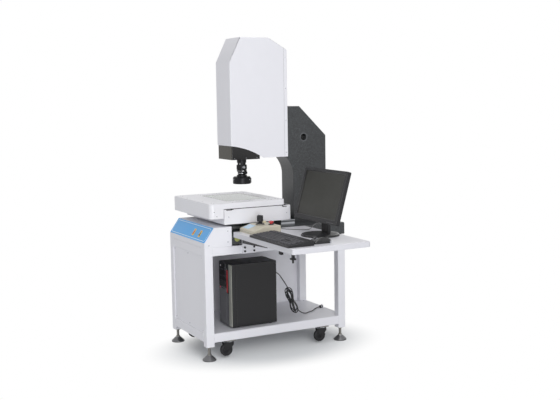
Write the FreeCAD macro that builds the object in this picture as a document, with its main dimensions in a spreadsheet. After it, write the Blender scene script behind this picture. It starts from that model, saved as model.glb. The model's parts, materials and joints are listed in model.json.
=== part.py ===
import FreeCAD, Part
import math
import os
from types import SimpleNamespace

import Sketcher

# Vision measuring machine on an open stand, with its side table, joystick box,
# keyboard, mouse, monitor and computer. Every place below is given in the
# machine's own frame: X to the right, Y to the rear, Z up, with zero in the
# middle of the stand's footprint on the floor. The whole object is then moved
# along X so that its origin lies under the middle of its overall box.

# Driving sizes in millimetres and degrees
SIZES = {
    # open stand of square tube
    "stand_width": 540, "stand_depth": 940, "stand_top": 662, "leg_bottom": 82,
    "rail_bottom": 106, "tube": 50, "tube_wall": 2.5, "tube_corner": 4,
    "shelf_sheet": 3, "panel_sheet": 2, "panel_recess": 8,
    "gland_x": 25, "gland_radius": 8, "gland_length": 14,
    # levelling feet and casters
    "pad_radius": 40, "pad_height": 30, "pad_seat": 18, "stud_radius": 8,
    "stud_reach": 46, "plug_height": 12,
    "caster_inset": 154, "caster_trail": 21, "caster_plate": 60, "caster_plate_sheet": 3,
    "boss_radius": 21, "boss_height": 6, "wheel_radius": 37, "wheel_width": 24,
    "wheel_floor_gap": 12, "axle_radius": 4, "kingpin_radius": 5, "cheek_sheet": 3,
    # granite base and column
    "granite_width": 530, "granite_length": 766, "mount_height": 8, "granite_thick": 72,
    "granite_chamfer": 4, "mount_radius": 21, "mount_inset": 35, "plug_radius": 17,
    "plug_inset": 34, "plug_rise": 32, "column_width": 150, "column_depth": 234,
    "column_inset": 17, "column_height": 715, "column_top_depth": 98,
    "column_slope_drop": 182, "cove_depth": 49, "cove_rise": 292, "cove_height": 113,
    "lifting_radius": 20, "lifting_setback": 77, "lifting_drop": 191, "lifting_chamfer": 6,
    # front cover and switches
    "cover_width": 536, "cover_sheet": 2, "cover_skirt": 28, "cover_rise": 34,
    "cover_slope": 62, "cover_corner": 6, "panel_thick": 2,
    "bezel_length": 44, "bezel_width": 21, "bezel_thick": 2.5, "rocker_width": 13,
    "rocker_half": 12, "rocker_tilt": 9, "power_x": 60, "lamp_x": 150, "bezel_height": 48,
    # lower slide, along Y
    "y_rail_x": 150, "y_rail_width": 34, "y_rail_height": 29, "y_rail_inset": 11,
    "y_rail_length": 460, "y_block_width": 70, "y_block_length": 90, "y_block_mid": 55,
    "y_block_half_pitch": 80, "y_screw_x": 100, "y_screw_rise": 26, "y_screw_radius": 8,
    "y_screw_overrun": 21, "y_nut_mid": 69, "y_stack": 47, "carriage_floor": 16,
    "carriage_height": 87, "carriage_front": 343, "carriage_rear": 89, "carriage_wall": 8,
    "window_half": 78, "window_front": 262, "window_rear": 8,
    # upper slide, along X
    "stage_middle": 12, "stage_width": 570, "stage_front": 431, "stage_rear": 55,
    "stage_gap": 4, "stage_thick": 32, "stage_corner": 26, "apron_drop": 54,
    "apron_gap": 4, "glass_x": 350, "glass_y": 250, "glass_rim": 6, "glass_thick": 6,
    "glass_middle": 150, "x_rail_height": 14, "x_rail_width": 15, "x_block_width": 34,
    "x_block_length": 60, "x_block_half_pitch": 92, "riser_height": 46,
    "x_rail_front": 35, "x_rail_rear": 27, "x_screw_y": 22, "x_screw_radius": 6,
    "x_screw_drop": 26,
    # screw ends, nuts and motors
    "bearing_thick": 12, "bearing_rim": 6, "nut_length": 40, "nut_rim": 5,
    "motor_size": 42, "motor_length": 48, "screw_end": 2,
    # head
    "head_width": 203, "head_front": 211, "head_rise": 410, "head_height": 716,
    "head_notch_rise": 76, "head_front_drop": 143, "head_top_front": 141,
    "head_top_rear": 48, "head_rear_drop": 69, "head_sheet": 1.5, "head_corner": 7,
    "notch_rear": 17, "notch_lift": 11, "notch_radius": 495,
    "z_plate_width": 110, "z_plate_thick": 20, "z_plate_lift": 13, "z_plate_drop": 218,
    "z_rail_x": 34, "z_rail_width": 20, "z_rail_height": 16, "z_rail_low": 15,
    "z_rail_high": 25, "z_block_length": 70, "z_block_width": 42, "z_block_rise": 135,
    "z_block_pitch": 130, "z_stack": 30, "z_screw_radius": 6, "carriage_plate": 15,
    # lens, camera and nose
    "lens_y": 97, "lens_radius": 25, "lens_clear": 124, "lens_height": 364,
    "ring_radius": 55, "ring_clear": 81, "zoom_rise": 42, "zoom_height": 30,
    "zoom_radius": 31, "nose_drop": 7, "nose_height": 167, "nose_gap": 3,
    "nose_rear": 19, "bracket_rise": 120, "bracket_thick": 12, "rib_thick": 6,
    "camera_size": 44, "camera_height": 62, "lamp_radius": 62, "lamp_height": 36,
    # side table
    "table_gap": 10, "table_length": 716, "table_front": 296, "table_depth": 474,
    "table_rise": 83, "table_thick": 30, "table_corner": 12, "arm_length": 540,
    "arm_width": 50, "arm_height": 25, "arm_plate": 8, "arm_plate_width": 90,
    "arm_front": 106, "arm_rear": 98, "arm_screw": 6, "grommet_radius": 22,
    "grommet_reach": 276, "grommet_inset": 30,
    # joystick box
    "joy_inset": 6, "joy_setback": 41, "joy_width": 180, "joy_depth": 176,
    "joy_height": 44, "joy_nose": 22, "joy_slope": 70, "joy_corner": 5,
    "stick_across": 86, "stick_up": 90, "stick_collar": 26, "stick_dome": 21,
    "stick_drop": 5, "stick_well": 32, "stick_knob": 14, "stick_neck": 5, "stick_length": 49,
    "gimbal_ring": 13, "gimbal_pin": 2, "post_near": 14.5, "post_far": 18,
    "stop_across": 122, "stop_up": 143, "stop_radius": 16, "stop_height": 22, "stop_stem": 8,
    "dial_across": 36, "dial_up": 143, "dial_radius": 9, "dial_height": 13, "dial_stem": 3,
    # keyboard and mouse
    "keys_across": 225, "keys_overhang": 4, "keys_length": 450, "keys_depth": 156,
    "keys_low": 11, "keys_high": 26, "key_pitch": 19, "key_size": 16.4, "key_rise": 6,
    "key_margin": 14, "key_border": 16, "key_taper": 2, "function_gap": 6,
    "mouse_across": 615, "mouse_setback": 224, "mouse_length": 108, "mouse_width": 60,
    "mouse_edge": 12, "mouse_height": 35, "mouse_split": 12,
    # monitor
    "monitor_across": 384, "monitor_width": 460, "monitor_height": 297, "monitor_rim": 20,
    "monitor_screen_x": 412, "monitor_screen_z": 252, "monitor_chin": 4, "monitor_hump": 14,
    "monitor_setback": 361, "monitor_rise": 225, "monitor_tilt": 16,
    "hinge_drop": 30, "hinge_depth": 45, "hinge_radius": 9, "stem_width": 70,
    "stem_thick": 18, "base_radius": 108, "base_height": 16, "base_setback": 358,
    # computer
    "pc_left": 37, "pc_front": 280, "pc_width": 183, "pc_depth": 294, "pc_height": 375,
    "pc_foot": 6, "pc_bezel": 24, "pc_sheet": 1.2, "pc_bezel_wall": 3, "pc_button": 9,
    "pc_button_z": 345,
    # cords
    "joy_lead": 5, "pc_lead": 6, "hank_x": 128, "hank_y": 200, "hank_lift": 9, "hank_lean": 20,
    # fits
    "fit": 0.05, "gap": 0.3,
}

DOC = FreeCAD.newDocument("VisionMeasuringMachine")
SHEET = DOC.addObject("Spreadsheet::Sheet", "Sizes")
NODES = []
X_AXIS = FreeCAD.Vector(1, 0, 0)
Y_AXIS = FreeCAD.Vector(0, 1, 0)
Z_AXIS = FreeCAD.Vector(0, 0, 1)
UPRIGHT = FreeCAD.Rotation()
ALONG_X = FreeCAD.Rotation(Y_AXIS, 90)
ALONG_Y = FreeCAD.Rotation(X_AXIS, -90)


class Size:
    """A length or an angle: its number, and the sheet expression that gives it."""

    def __init__(self, number, text):
        self.number = float(number)
        self.text = text

    def __float__(self):
        return self.number

    def __add__(self, other):
        other = sized(other)
        return Size(self.number + other.number, f"({self.text} + {other.text})")

    def __sub__(self, other):
        other = sized(other)
        return Size(self.number - other.number, f"({self.text} - {other.text})")

    def __mul__(self, other):
        other = sized(other)
        return Size(self.number * other.number, f"({self.text} * {other.text})")

    def __truediv__(self, other):
        other = sized(other)
        return Size(self.number / other.number, f"({self.text} / {other.text})")

    def __radd__(self, other):
        return sized(other) + self

    def __rsub__(self, other):
        return sized(other) - self

    def __rmul__(self, other):
        return sized(other) * self

    def __neg__(self):
        return Size(-self.number, f"(0 - {self.text})")


def sized(value):
    """A plain number as a Size, so that both can be mixed."""
    return value if isinstance(value, Size) else Size(value, f"({float(value)})")


def root(value):
    return Size(math.sqrt(value.number), f"sqrt({value.text})")


def slope_angle(rise, run):
    """The angle in degrees of a slope that rises over a run."""
    ratio = rise / run
    return Size(math.degrees(math.atan(ratio.number)), f"(atan({ratio.text}) / 1 deg)")


def fill_sheet():
    """Writes the driving sizes to the sheet and gives back a name for each."""
    named = {}
    for row, (alias, number) in enumerate(SIZES.items(), start=1):
        SHEET.set(f"A{row}", alias)
        SHEET.set(f"B{row}", str(number))
        SHEET.setAlias(f"B{row}", alias)
        named[alias] = Size(number, f"Sizes.{alias}")
    DOC.recompute()
    return SimpleNamespace(**named)


mm = fill_sheet()
HALF_W = mm.stand_width / 2
HALF_D = mm.stand_depth / 2
SHELF_TOP = mm.rail_bottom + mm.tube + mm.shelf_sheet
LUG_Y = HALF_D - mm.tube / 2
CASTER_Y = HALF_D - mm.caster_inset

# Granite, from the stand up
GRANITE_LOW = mm.stand_top + mm.mount_height
GRANITE_TOP = GRANITE_LOW + mm.granite_thick
GRANITE_REAR = HALF_D
GRANITE_FRONT = GRANITE_REAR - mm.granite_length
COLUMN_REAR = GRANITE_REAR - mm.column_inset
COLUMN_FRONT = COLUMN_REAR - mm.column_depth
COLUMN_FACE = COLUMN_FRONT - mm.cove_depth
COLUMN_TOP = GRANITE_TOP + mm.column_height

# Slides and stage, from the granite up
Y_SCREW_Z = GRANITE_TOP + mm.y_screw_rise
CARRIAGE_LOW = GRANITE_TOP + mm.y_stack
CARRIAGE_TOP = CARRIAGE_LOW + mm.carriage_height
TRAY_FLOOR = CARRIAGE_LOW + mm.carriage_floor
STAGE_LOW = CARRIAGE_TOP + mm.stage_gap
STAGE_TOP = STAGE_LOW + mm.stage_thick
STAGE_LEFT = -mm.stage_middle - mm.stage_width / 2
STAGE_RIGHT = -mm.stage_middle + mm.stage_width / 2
X_SCREW_Z = CARRIAGE_TOP - mm.x_screw_drop

# Head, lens and nose
HEAD_LOW = GRANITE_TOP + mm.head_rise
HEAD_TOP = HEAD_LOW + mm.head_height
HEAD_SHOULDER = HEAD_TOP - mm.head_front_drop
Z_PLATE_LOW = HEAD_LOW + mm.z_plate_lift
Z_PLATE_TOP = HEAD_TOP - mm.z_plate_drop
Z_BLOCK_LOW = Z_PLATE_LOW + mm.z_block_rise
Z_BLOCK_HIGH = Z_BLOCK_LOW + mm.z_block_pitch
BRACKET_Z = Z_PLATE_LOW + mm.bracket_rise
LENS_LOW = STAGE_TOP + mm.lens_clear
RING_LOW = STAGE_TOP + mm.ring_clear
NOSE_LOW = HEAD_LOW - mm.nose_drop
NOSE_HALF = mm.head_width / 2 - 2 * mm.head_sheet - mm.nose_gap

# Side table and what stands on it
TABLE_LEFT = HALF_W + mm.table_gap
TABLE_TOP = mm.stand_top + mm.table_rise
TABLE_REAR = mm.table_depth - mm.table_front
GROMMET_X = TABLE_LEFT + mm.grommet_reach
GROMMET_Y = TABLE_REAR - mm.grommet_inset
JOY_LEFT = TABLE_LEFT + mm.joy_inset
JOY_FRONT = mm.joy_setback - mm.table_front
JOY_TOP = TABLE_TOP + mm.joy_height
STICK_PIVOT = JOY_TOP - mm.stick_drop
MONITOR_X = TABLE_LEFT + mm.monitor_across
MOUSE_X = TABLE_LEFT + mm.mouse_across
MOUSE_Y = mm.mouse_setback - mm.table_front

ORIGIN_X = (TABLE_LEFT + mm.table_length + STAGE_LEFT) / 2


def bind(thing, name, value):
    """Ties a property to the sheet, or sets it where it is a plain number."""
    if isinstance(value, Size) and "Sizes." in value.text:
        thing.setExpression(name, value.text)
    else:
        setattr(thing, name, float(value))


def place(thing, x, y, z, rotation=UPRIGHT, angle=None):
    """Puts a piece at a point of the machine's frame, turned by a rotation."""
    x, y, z = sized(x) - ORIGIN_X, sized(y), sized(z)
    spot = FreeCAD.Vector(float(x), float(y), float(z))
    thing.Placement = FreeCAD.Placement(spot, rotation)
    thing.setExpression("Placement.Base.x", x.text)
    thing.setExpression("Placement.Base.y", y.text)
    thing.setExpression("Placement.Base.z", z.text)
    if angle is not None:
        thing.setExpression("Placement.Rotation.Angle", angle.text)
    return thing


def node(label, thing):
    """Names the object that one node is written from."""
    thing.Label = label
    NODES.append(thing)
    return thing


def block(name, corner, span):
    """A plain block from its lowest corner."""
    box = DOC.addObject("Part::Box", name)
    for side, value in zip(("Length", "Width", "Height"), span):
        bind(box, side, value)
    return place(box, *corner)


def rod(name, radius, length, start, rotation=UPRIGHT):
    """A round bar from the middle of its first end."""
    bar = DOC.addObject("Part::Cylinder", name)
    bind(bar, "Radius", radius)
    bind(bar, "Height", length)
    return place(bar, *start, rotation)


def less(name, base, tool):
    """The base with the tool taken out of it."""
    part = DOC.addObject("Part::Cut", name)
    part.Base, part.Tool = base, tool
    return part


def joined(name, pieces):
    """Pieces of one material made in one."""
    part = DOC.addObject("Part::MultiFuse", name)
    part.Shapes = pieces
    return part


def group(name, pieces):
    """Separate solids that share a node."""
    part = DOC.addObject("Part::Compound", name)
    part.Links = pieces
    return part


class Piece:
    """One body that is built up from sketches in its own small frame."""

    def __init__(self, name):
        self.name = name
        self.body = DOC.addObject("PartDesign::Body", name)
        self.steps = 0

    def label(self, kind):
        self.steps += 1
        return f"{self.name}_{kind}_{self.steps}"

    def sketch(self, role="XY_Plane", offset=None):
        """An empty sketch on one of the body's own origin planes."""
        drawing = self.body.newObject("Sketcher::SketchObject", self.label("sketch"))
        planes = [item for item in self.body.Origin.OriginFeatures if item.Role == role]
        drawing.AttachmentSupport = [(planes[0], "")]
        drawing.MapMode = "FlatFace"
        if offset is not None:
            bind_offset(drawing, sized(offset))
        return drawing

    def pad(self, drawing, length, symmetric=False, backwards=False, taper=None):
        feature = self.body.newObject("PartDesign::Pad", self.label("pad"))
        feature.Profile = drawing
        feature.SideType = "Symmetric" if symmetric else "One side"
        feature.Reversed = backwards
        bind(feature, "Length", sized(length))
        if taper is not None:
            feature.TaperAngle = taper
        return self.done(feature)

    def pocket(self, drawing, length=None, symmetric=False, backwards=False):
        feature = self.body.newObject("PartDesign::Pocket", self.label("pocket"))
        feature.Profile = drawing
        feature.SideType = "Symmetric" if symmetric else "One side"
        feature.Reversed = backwards
        if length is None:
            feature.Type = "ThroughAll"
        else:
            bind(feature, "Length", sized(length))
        return self.cuts(feature)

    def turned(self, drawing, kind="Revolution"):
        """A revolve about the sketch's upright axis, or a groove cut with one."""
        feature = self.body.newObject(f"PartDesign::{kind}", self.label("turned"))
        feature.Profile = drawing
        feature.ReferenceAxis = (drawing, ["V_Axis"])
        feature.Angle = 360
        return self.cuts(feature) if kind == "Groove" else self.done(feature)

    def rounded(self, test, radius, kind="Fillet"):
        """Rounds or chamfers the edges that a test picks out."""
        base = self.body.Tip
        names = [f"Edge{number}" for number, edge in enumerate(base.Shape.Edges, start=1) if test(edge)]
        feature = self.body.newObject(f"PartDesign::{kind}", self.label("round"))
        feature.Base = (base, names)
        bind(feature, "Radius" if kind == "Fillet" else "Size", sized(radius))
        return self.done(feature)

    def cuts(self, feature):
        """Checks that a cut really takes something away."""
        before = feature.BaseFeature.Shape.Volume
        self.done(feature)
        if feature.Shape.Volume > before - 1e-3:
            raise ValueError(f"{feature.Name} takes nothing away")
        return feature

    def done(self, feature):
        self.body.Tip = feature
        DOC.recompute()
        return feature


def bind_offset(drawing, offset):
    drawing.setExpression("AttachmentOffset.Base.z", offset.text)


def tie(drawing, kind, items, value):
    """Adds one measured constraint and ties it to the sheet."""
    value = sized(value)
    number = drawing.addConstraint(Sketcher.Constraint(kind, *items, float(value)))
    if "Sizes." in value.text:
        drawing.setExpression(f"Constraints[{number}]", value.text)


def pin(drawing, edge, end, x, y):
    """Fixes a point of the sketch at its distances from the sketch's zero."""
    for kind, axis, value in (("DistanceX", -2, sized(x)), ("DistanceY", -1, sized(y))):
        if abs(value.number) < 1e-9:
            drawing.addConstraint(Sketcher.Constraint("PointOnObject", edge, end, axis))
        else:
            tie(drawing, kind, (-1, 1, edge, end), value)


def arc_between(start, end, radius):
    """A short arc; its middle is left of the way from start to end, or right
    of it where the radius is negative."""
    size = abs(radius)
    chord = end - start
    side = FreeCAD.Vector(-chord.y, chord.x, 0).normalize()
    height = math.sqrt(max(size * size - chord.Length ** 2 / 4, 0))
    middle = (start + end) * 0.5 + side * math.copysign(height, radius)
    first, last = (start, end) if radius > 0 else (end, start)
    angles = [math.atan2(point.y - middle.y, point.x - middle.x) for point in (first, last)]
    return Part.ArcOfCircle(Part.Circle(middle, Z_AXIS, size), angles[0], angles[1])


def outline(drawing, corners):
    """A closed line through the corners. A corner with a third number starts
    an arc of that radius."""
    first = drawing.GeometryCount
    points = [FreeCAD.Vector(float(corner[0]), float(corner[1]), 0) for corner in corners]
    ends = []
    for number, corner in enumerate(corners):
        start, end = points[number], points[(number + 1) % len(points)]
        if len(corner) == 3:
            radius = sized(corner[2])
            drawing.addGeometry(arc_between(start, end, float(radius)))
            ends.append((1, 2) if float(radius) > 0 else (2, 1))
        else:
            drawing.addGeometry(Part.LineSegment(start, end))
            ends.append((1, 2))
    for number in range(len(corners)):
        after = (number + 1) % len(corners)
        drawing.addConstraint(Sketcher.Constraint(
            "Coincident", first + number, ends[number][1], first + after, ends[after][0]))
    for number, corner in enumerate(corners):
        pin(drawing, first + number, ends[number][0], corner[0], corner[1])
        if len(corner) == 3:
            radius = sized(corner[2])
            tie(drawing, "Radius", (first + number,), radius if float(radius) > 0 else -radius)
    return drawing


def rectangle(drawing, low, high):
    """A rectangle between two opposite corners."""
    return outline(drawing, [(low[0], low[1]), (high[0], low[1]), (high[0], high[1]), (low[0], high[1])])


def soft_rectangle(drawing, low, high, radius):
    """A rectangle with round corners."""
    left, bottom, right, top = low[0], low[1], high[0], high[1]
    return outline(drawing, [
        (left + radius, bottom), (right - radius, bottom, radius),
        (right, bottom + radius), (right, top - radius, radius),
        (right - radius, top), (left + radius, top, radius),
        (left, top - radius), (left, bottom + radius, radius)])


def circle(drawing, x, y, radius):
    number = drawing.addGeometry(Part.Circle(FreeCAD.Vector(float(x), float(y), 0), Z_AXIS, float(radius)))
    pin(drawing, number, 3, x, y)
    tie(drawing, "Radius", (number,), radius)
    return drawing


def runs_along(edge, axis):
    """True for a straight edge that runs along an axis."""
    if len(edge.Vertexes) != 2:
        return False
    way = edge.Vertexes[1].Point - edge.Vertexes[0].Point
    return way.Length > 1e-6 and abs(way.normalize().dot(axis)) > 0.999


def is_upright(edge):
    return runs_along(edge, Z_AXIS)


def turned_piece(name, corners):
    """A body turned about its own upright axis from half of its section."""
    piece = Piece(name)
    piece.turned(outline(piece.sketch("XZ_Plane"), corners))
    return piece.body


def square_tube(name, length, start, rotation=UPRIGHT):
    """A square tube with rounded corners, from the middle of its first end."""
    piece = Piece(name)
    half = mm.tube / 2
    bore = half - mm.tube_wall
    section = soft_rectangle(piece.sketch(), (-half, -half), (half, half), mm.tube_corner)
    rectangle(section, (-bore, -bore), (bore, bore))
    piece.pad(section, length)
    return place(piece.body, *start, rotation)


# Open stand

def stand_legs():
    """Four legs with a threaded plug in each lower end."""
    legs = [square_tube(f"leg_{side_x}_{side_y}".replace("-", "m"), mm.stand_top - mm.leg_bottom,
                        (side_x * (HALF_W - mm.tube / 2), side_y * (HALF_D - mm.tube / 2), mm.leg_bottom))
            for side_x in (-1, 1) for side_y in (-1, 1)]
    node("stand_legs", group("legs", legs + leg_plugs()))


def stand_rails():
    """Four rails between the legs at the top, and four near the floor."""
    edge_x, edge_y = HALF_W - mm.tube / 2, HALF_D - mm.tube / 2
    rails = []
    for level, bottom in (("top", mm.stand_top - mm.tube), ("low", mm.rail_bottom)):
        middle = bottom + mm.tube / 2
        for number, side in enumerate((-1, 1)):
            rails.append(square_tube(f"{level}_cross_{number}", mm.stand_width - 2 * mm.tube,
                                     (mm.tube - HALF_W, side * edge_y, middle), ALONG_X))
            rails.append(square_tube(f"{level}_side_{number}", mm.stand_depth - 2 * mm.tube,
                                     (side * edge_x, mm.tube - HALF_D, middle), ALONG_Y))
    node("stand_rails", group("rail_group", rails))


def shelf_plate():
    """A plate on the lower rails, notched round the legs."""
    piece = Piece("shelf")
    x, y = HALF_W - mm.tube_wall, HALF_D - mm.tube_wall
    notch_x, notch_y = HALF_W - mm.tube - mm.gap, HALF_D - mm.tube - mm.gap
    piece.pad(outline(piece.sketch(), [
        (-notch_x, -y), (notch_x, -y), (notch_x, -notch_y), (x, -notch_y),
        (x, notch_y), (notch_x, notch_y), (notch_x, y), (-notch_x, y),
        (-notch_x, notch_y), (-x, notch_y), (-x, -notch_y), (-notch_x, -notch_y)]), mm.shelf_sheet)
    return place(piece.body, 0, 0, mm.rail_bottom + mm.tube)


def stand_panels():
    """The shelf, thin panels that close the front and the left side, and a lug
    with a cable gland at the shelf's rear edge."""
    low = SHELF_TOP
    height = mm.stand_top - mm.tube - low
    front = block("front_panel", (mm.tube - HALF_W, mm.panel_recess - HALF_D, low),
                  (mm.stand_width - 2 * mm.tube, mm.panel_sheet, height))
    side = block("side_panel", (mm.panel_recess - HALF_W, mm.tube - HALF_D, low),
                 (mm.panel_sheet, mm.stand_depth - 2 * mm.tube, height))
    lug = block("gland_lug", (mm.gland_x - 1.5 * mm.gland_radius, LUG_Y, low),
                (3 * mm.gland_radius, mm.shelf_sheet, 2.5 * mm.gland_radius))
    gland = rod("cable_gland", mm.gland_radius, mm.gland_length,
                (mm.gland_x, LUG_Y - mm.gland_length, low + mm.gland_radius + mm.gap), ALONG_Y)
    node("stand_panels", group("panel_group", [shelf_plate(), front, side, joined("gland", [lug, gland])]))


def corner_spots():
    """The four leg middles on the floor."""
    return [(side_x * (HALF_W - mm.tube / 2), side_y * (HALF_D - mm.tube / 2))
            for side_x in (-1, 1) for side_y in (-1, 1)]


def leg_plugs():
    """Square plugs in the leg ends, bored for the studs."""
    plugs = []
    side = mm.tube - 2 * mm.tube_wall - mm.gap
    for number, (x, y) in enumerate(corner_spots()):
        blank = block(f"plug_blank_{number}", (x - side / 2, y - side / 2, mm.leg_bottom),
                      (side, side, mm.plug_height))
        bore = rod(f"plug_bore_{number}", mm.stud_radius + mm.fit, mm.plug_height, (x, y, mm.leg_bottom))
        plugs.append(less(f"plug_{number}", blank, bore))
    return plugs


def levelling_feet():
    """Threaded studs with lock nuts, and cone pads."""
    studs, pads = [], []
    for number, (x, y) in enumerate(corner_spots()):
        stud = rod(f"stud_bar_{number}", mm.stud_radius, mm.leg_bottom + mm.stud_reach - mm.pad_seat,
                   (x, y, mm.pad_seat))
        nut = DOC.addObject("Part::Prism", f"stud_nut_{number}")
        nut.Polygon = 6
        bind(nut, "Circumradius", mm.stud_radius * 1.7)
        bind(nut, "Height", mm.stud_radius)
        place(nut, x, y, mm.leg_bottom - mm.stud_radius)
        studs.append(joined(f"stud_{number}", [stud, nut]))
        pads.append(place(foot_pad(f"pad_{number}"), x, y, 0))
    node("foot_pads", group("pad_group", pads))
    return studs


def foot_pad(name):
    socket = mm.stud_radius + mm.fit
    neck = mm.stud_radius * 2
    return turned_piece(name, [
        (0, 0), (mm.pad_radius, 0), (mm.pad_radius, mm.pad_height / 4), (neck, mm.pad_height),
        (socket, mm.pad_height), (socket, mm.pad_seat), (0, mm.pad_seat)])


def casters():
    """Swivel casters under the side rails, held just clear of the floor."""
    plates = []
    hole = mm.kingpin_radius + mm.fit
    x_mid = HALF_W - mm.tube / 2
    plate_z = mm.rail_bottom - mm.caster_plate_sheet
    boss_z = plate_z - mm.boss_height
    names = (("left", "front", -1, -1), ("left", "rear", -1, 1), ("right", "front", 1, -1),
             ("right", "rear", 1, 1))
    for side, end, side_x, side_y in names:
        x, y = side_x * x_mid, side_y * CASTER_Y
        name = f"{end}_{side}"
        half = mm.caster_plate / 2
        sheet = block(f"plate_sheet_{name}", (x - half, y - half, plate_z),
                      (mm.caster_plate, mm.caster_plate, mm.caster_plate_sheet))
        boss = rod(f"plate_boss_{name}", mm.boss_radius, mm.boss_height, (x, y, boss_z))
        bore = rod(f"plate_bore_{name}", hole, mm.boss_height + mm.caster_plate_sheet, (x, y, boss_z))
        plates.append(less(f"plate_{name}", joined(f"plate_blank_{name}", [sheet, boss]), bore))
        node(f"caster_fork_{name}", caster_fork(name, x, y, boss_z))
        node(f"caster_wheel_{name}", caster_wheel(name, x, y - mm.caster_trail))
    return plates


def feet_and_casters():
    """The plated steel fittings share a node: studs and caster plates."""
    node("stand_fittings", group("stand_fitting_group", levelling_feet() + casters()))


def caster_fork(name, x, y, boss_z):
    """A crown with its kingpin, two cheeks and the axle between them."""
    crown_top = boss_z - mm.gap
    crown = mm.boss_height
    axle_z = mm.wheel_floor_gap + mm.wheel_radius
    inside = mm.wheel_width / 2 + 1
    piece = Piece(f"fork_{name}")
    reach = mm.boss_radius
    side = piece.sketch("YZ_Plane")
    outline(side, [(reach, crown_top), (-mm.caster_trail - mm.boss_radius, crown_top),
                   (-mm.caster_trail - 12, axle_z - 9), (-mm.caster_trail + 12, axle_z - 9),
                   (reach, crown_top - 3 * crown)])
    piece.pad(side, 2 * (inside + mm.cheek_sheet), symmetric=True)
    slot = piece.sketch("YZ_Plane")
    rectangle(slot, (-mm.wheel_radius * 3, 0), (mm.wheel_radius * 2, crown_top - crown / 2))
    piece.pocket(slot, 2 * inside, symmetric=True)
    axle = piece.sketch("YZ_Plane")
    circle(axle, -mm.caster_trail, axle_z, mm.axle_radius)
    piece.pad(axle, 2 * (inside + mm.cheek_sheet) + 6, symmetric=True)
    pin_drawing = piece.sketch("XY_Plane", crown_top)
    circle(pin_drawing, 0, 0, mm.kingpin_radius)
    piece.pad(pin_drawing, mm.boss_height + mm.caster_plate_sheet - 1)
    return place(piece.body, x, y, 0)


def caster_wheel(name, x, y):
    """A wheel with a rounded tread and a hub that nearly fills the fork."""
    bore = mm.axle_radius + mm.fit
    half = mm.wheel_width / 2
    shoulder = mm.wheel_radius - 5
    dish = mm.wheel_radius - 9
    hub = mm.axle_radius * 3
    body = turned_piece(f"wheel_{name}", [
        (bore, -half), (hub, -half), (hub + 2, 4 - half), (dish, 4 - half), (dish + 2, -half),
        (shoulder, -half, 6), (mm.wheel_radius, 5 - half), (mm.wheel_radius, half - 5, 6),
        (shoulder, half), (dish + 2, half), (dish, half - 4), (hub + 2, half - 4), (hub, half),
        (bore, half)])
    return place(body, x, y, mm.wheel_floor_gap + mm.wheel_radius, ALONG_X)


# Granite base and column

def granite_base():
    """The ground slab, on six pads that stand on the frame."""
    piece = Piece("granite_base")
    half = mm.granite_width / 2
    piece.pad(rectangle(piece.sketch(), (-half, GRANITE_FRONT), (half, GRANITE_REAR)), mm.granite_thick)
    piece.rounded(lambda edge: edge.BoundBox.ZMin > 1, mm.granite_chamfer, "Chamfer")
    node("granite_base", place(piece.body, 0, 0, GRANITE_LOW))
    mounts = []
    places = (GRANITE_FRONT + mm.mount_inset, (GRANITE_FRONT + GRANITE_REAR) / 2, GRANITE_REAR - mm.mount_inset)
    for side in (-1, 1):
        for number, y in enumerate(places):
            mounts.append(rod(f"mount_{number}_{side + 1}", mm.mount_radius, mm.mount_height,
                              (side * (HALF_W - mm.tube / 2 - 3), y, mm.stand_top)))
    node("base_mounts", group("base_mount_group", mounts))


def transport_plugs():
    """Round plugs that close the carrying holes in the base's sides."""
    plugs = []
    for side in (-1, 1):
        body = turned_piece(f"transport_plug_{side + 1}", [
            (0, 0), (mm.plug_radius, 0), (mm.plug_radius, 3), (mm.plug_radius - 4, 6), (0, 6)])
        turn = FreeCAD.Rotation(Y_AXIS, 90 * side)
        plugs.append(place(body, side * mm.granite_width / 2, GRANITE_FRONT + mm.plug_inset,
                           GRANITE_LOW + mm.plug_rise, turn))
    node("transport_plugs", group("plug_group", plugs))


def granite_column():
    """The column's side outline with its cove, and the lifting bore through it."""
    piece = Piece("granite_column")
    cove_low = GRANITE_TOP + mm.cove_rise
    cove_top = cove_low + mm.cove_height
    cove_radius = (mm.cove_height * mm.cove_height + mm.cove_depth * mm.cove_depth) / (2 * mm.cove_depth)
    side = piece.sketch("YZ_Plane")
    outline(side, [
        (COLUMN_FRONT, GRANITE_TOP), (COLUMN_REAR, GRANITE_TOP),
        (COLUMN_REAR, COLUMN_TOP - mm.column_slope_drop), (COLUMN_FACE + mm.column_top_depth, COLUMN_TOP),
        (COLUMN_FACE, COLUMN_TOP), (COLUMN_FACE, cove_top, -cove_radius), (COLUMN_FRONT, cove_low)])
    piece.pad(side, mm.column_width, symmetric=True)
    piece.rounded(lambda edge: edge.BoundBox.ZMin > float(cove_low) - 1 and edge.BoundBox.XLength < 1
                  and edge.BoundBox.YMax > float(COLUMN_FACE) + 1 and not is_round(edge), 3, "Chamfer")
    bore = piece.sketch("YZ_Plane")
    circle(bore, COLUMN_FRONT + mm.lifting_setback, COLUMN_TOP - mm.lifting_drop, mm.lifting_radius)
    piece.pocket(bore, mm.column_width + 10, symmetric=True)
    piece.rounded(lambda edge: is_round(edge) and abs(edge.Curve.Radius - mm.lifting_radius.number) < 0.01
                  and edge.BoundBox.XLength < 1, mm.lifting_chamfer, "Chamfer")
    node("granite_column", place(piece.body, 0, 0, 0))


def is_round(edge):
    return edge.Curve.TypeId == "Part::GeomCircle"


# Front cover and its switches

COVER_LOW = mm.stand_top + mm.cover_skirt
COVER_TOP = GRANITE_TOP + mm.cover_rise
SLOPE_RISE = COVER_TOP - COVER_LOW
SLOPE_LENGTH = root(mm.cover_slope * mm.cover_slope + SLOPE_RISE * SLOPE_RISE)


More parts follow.
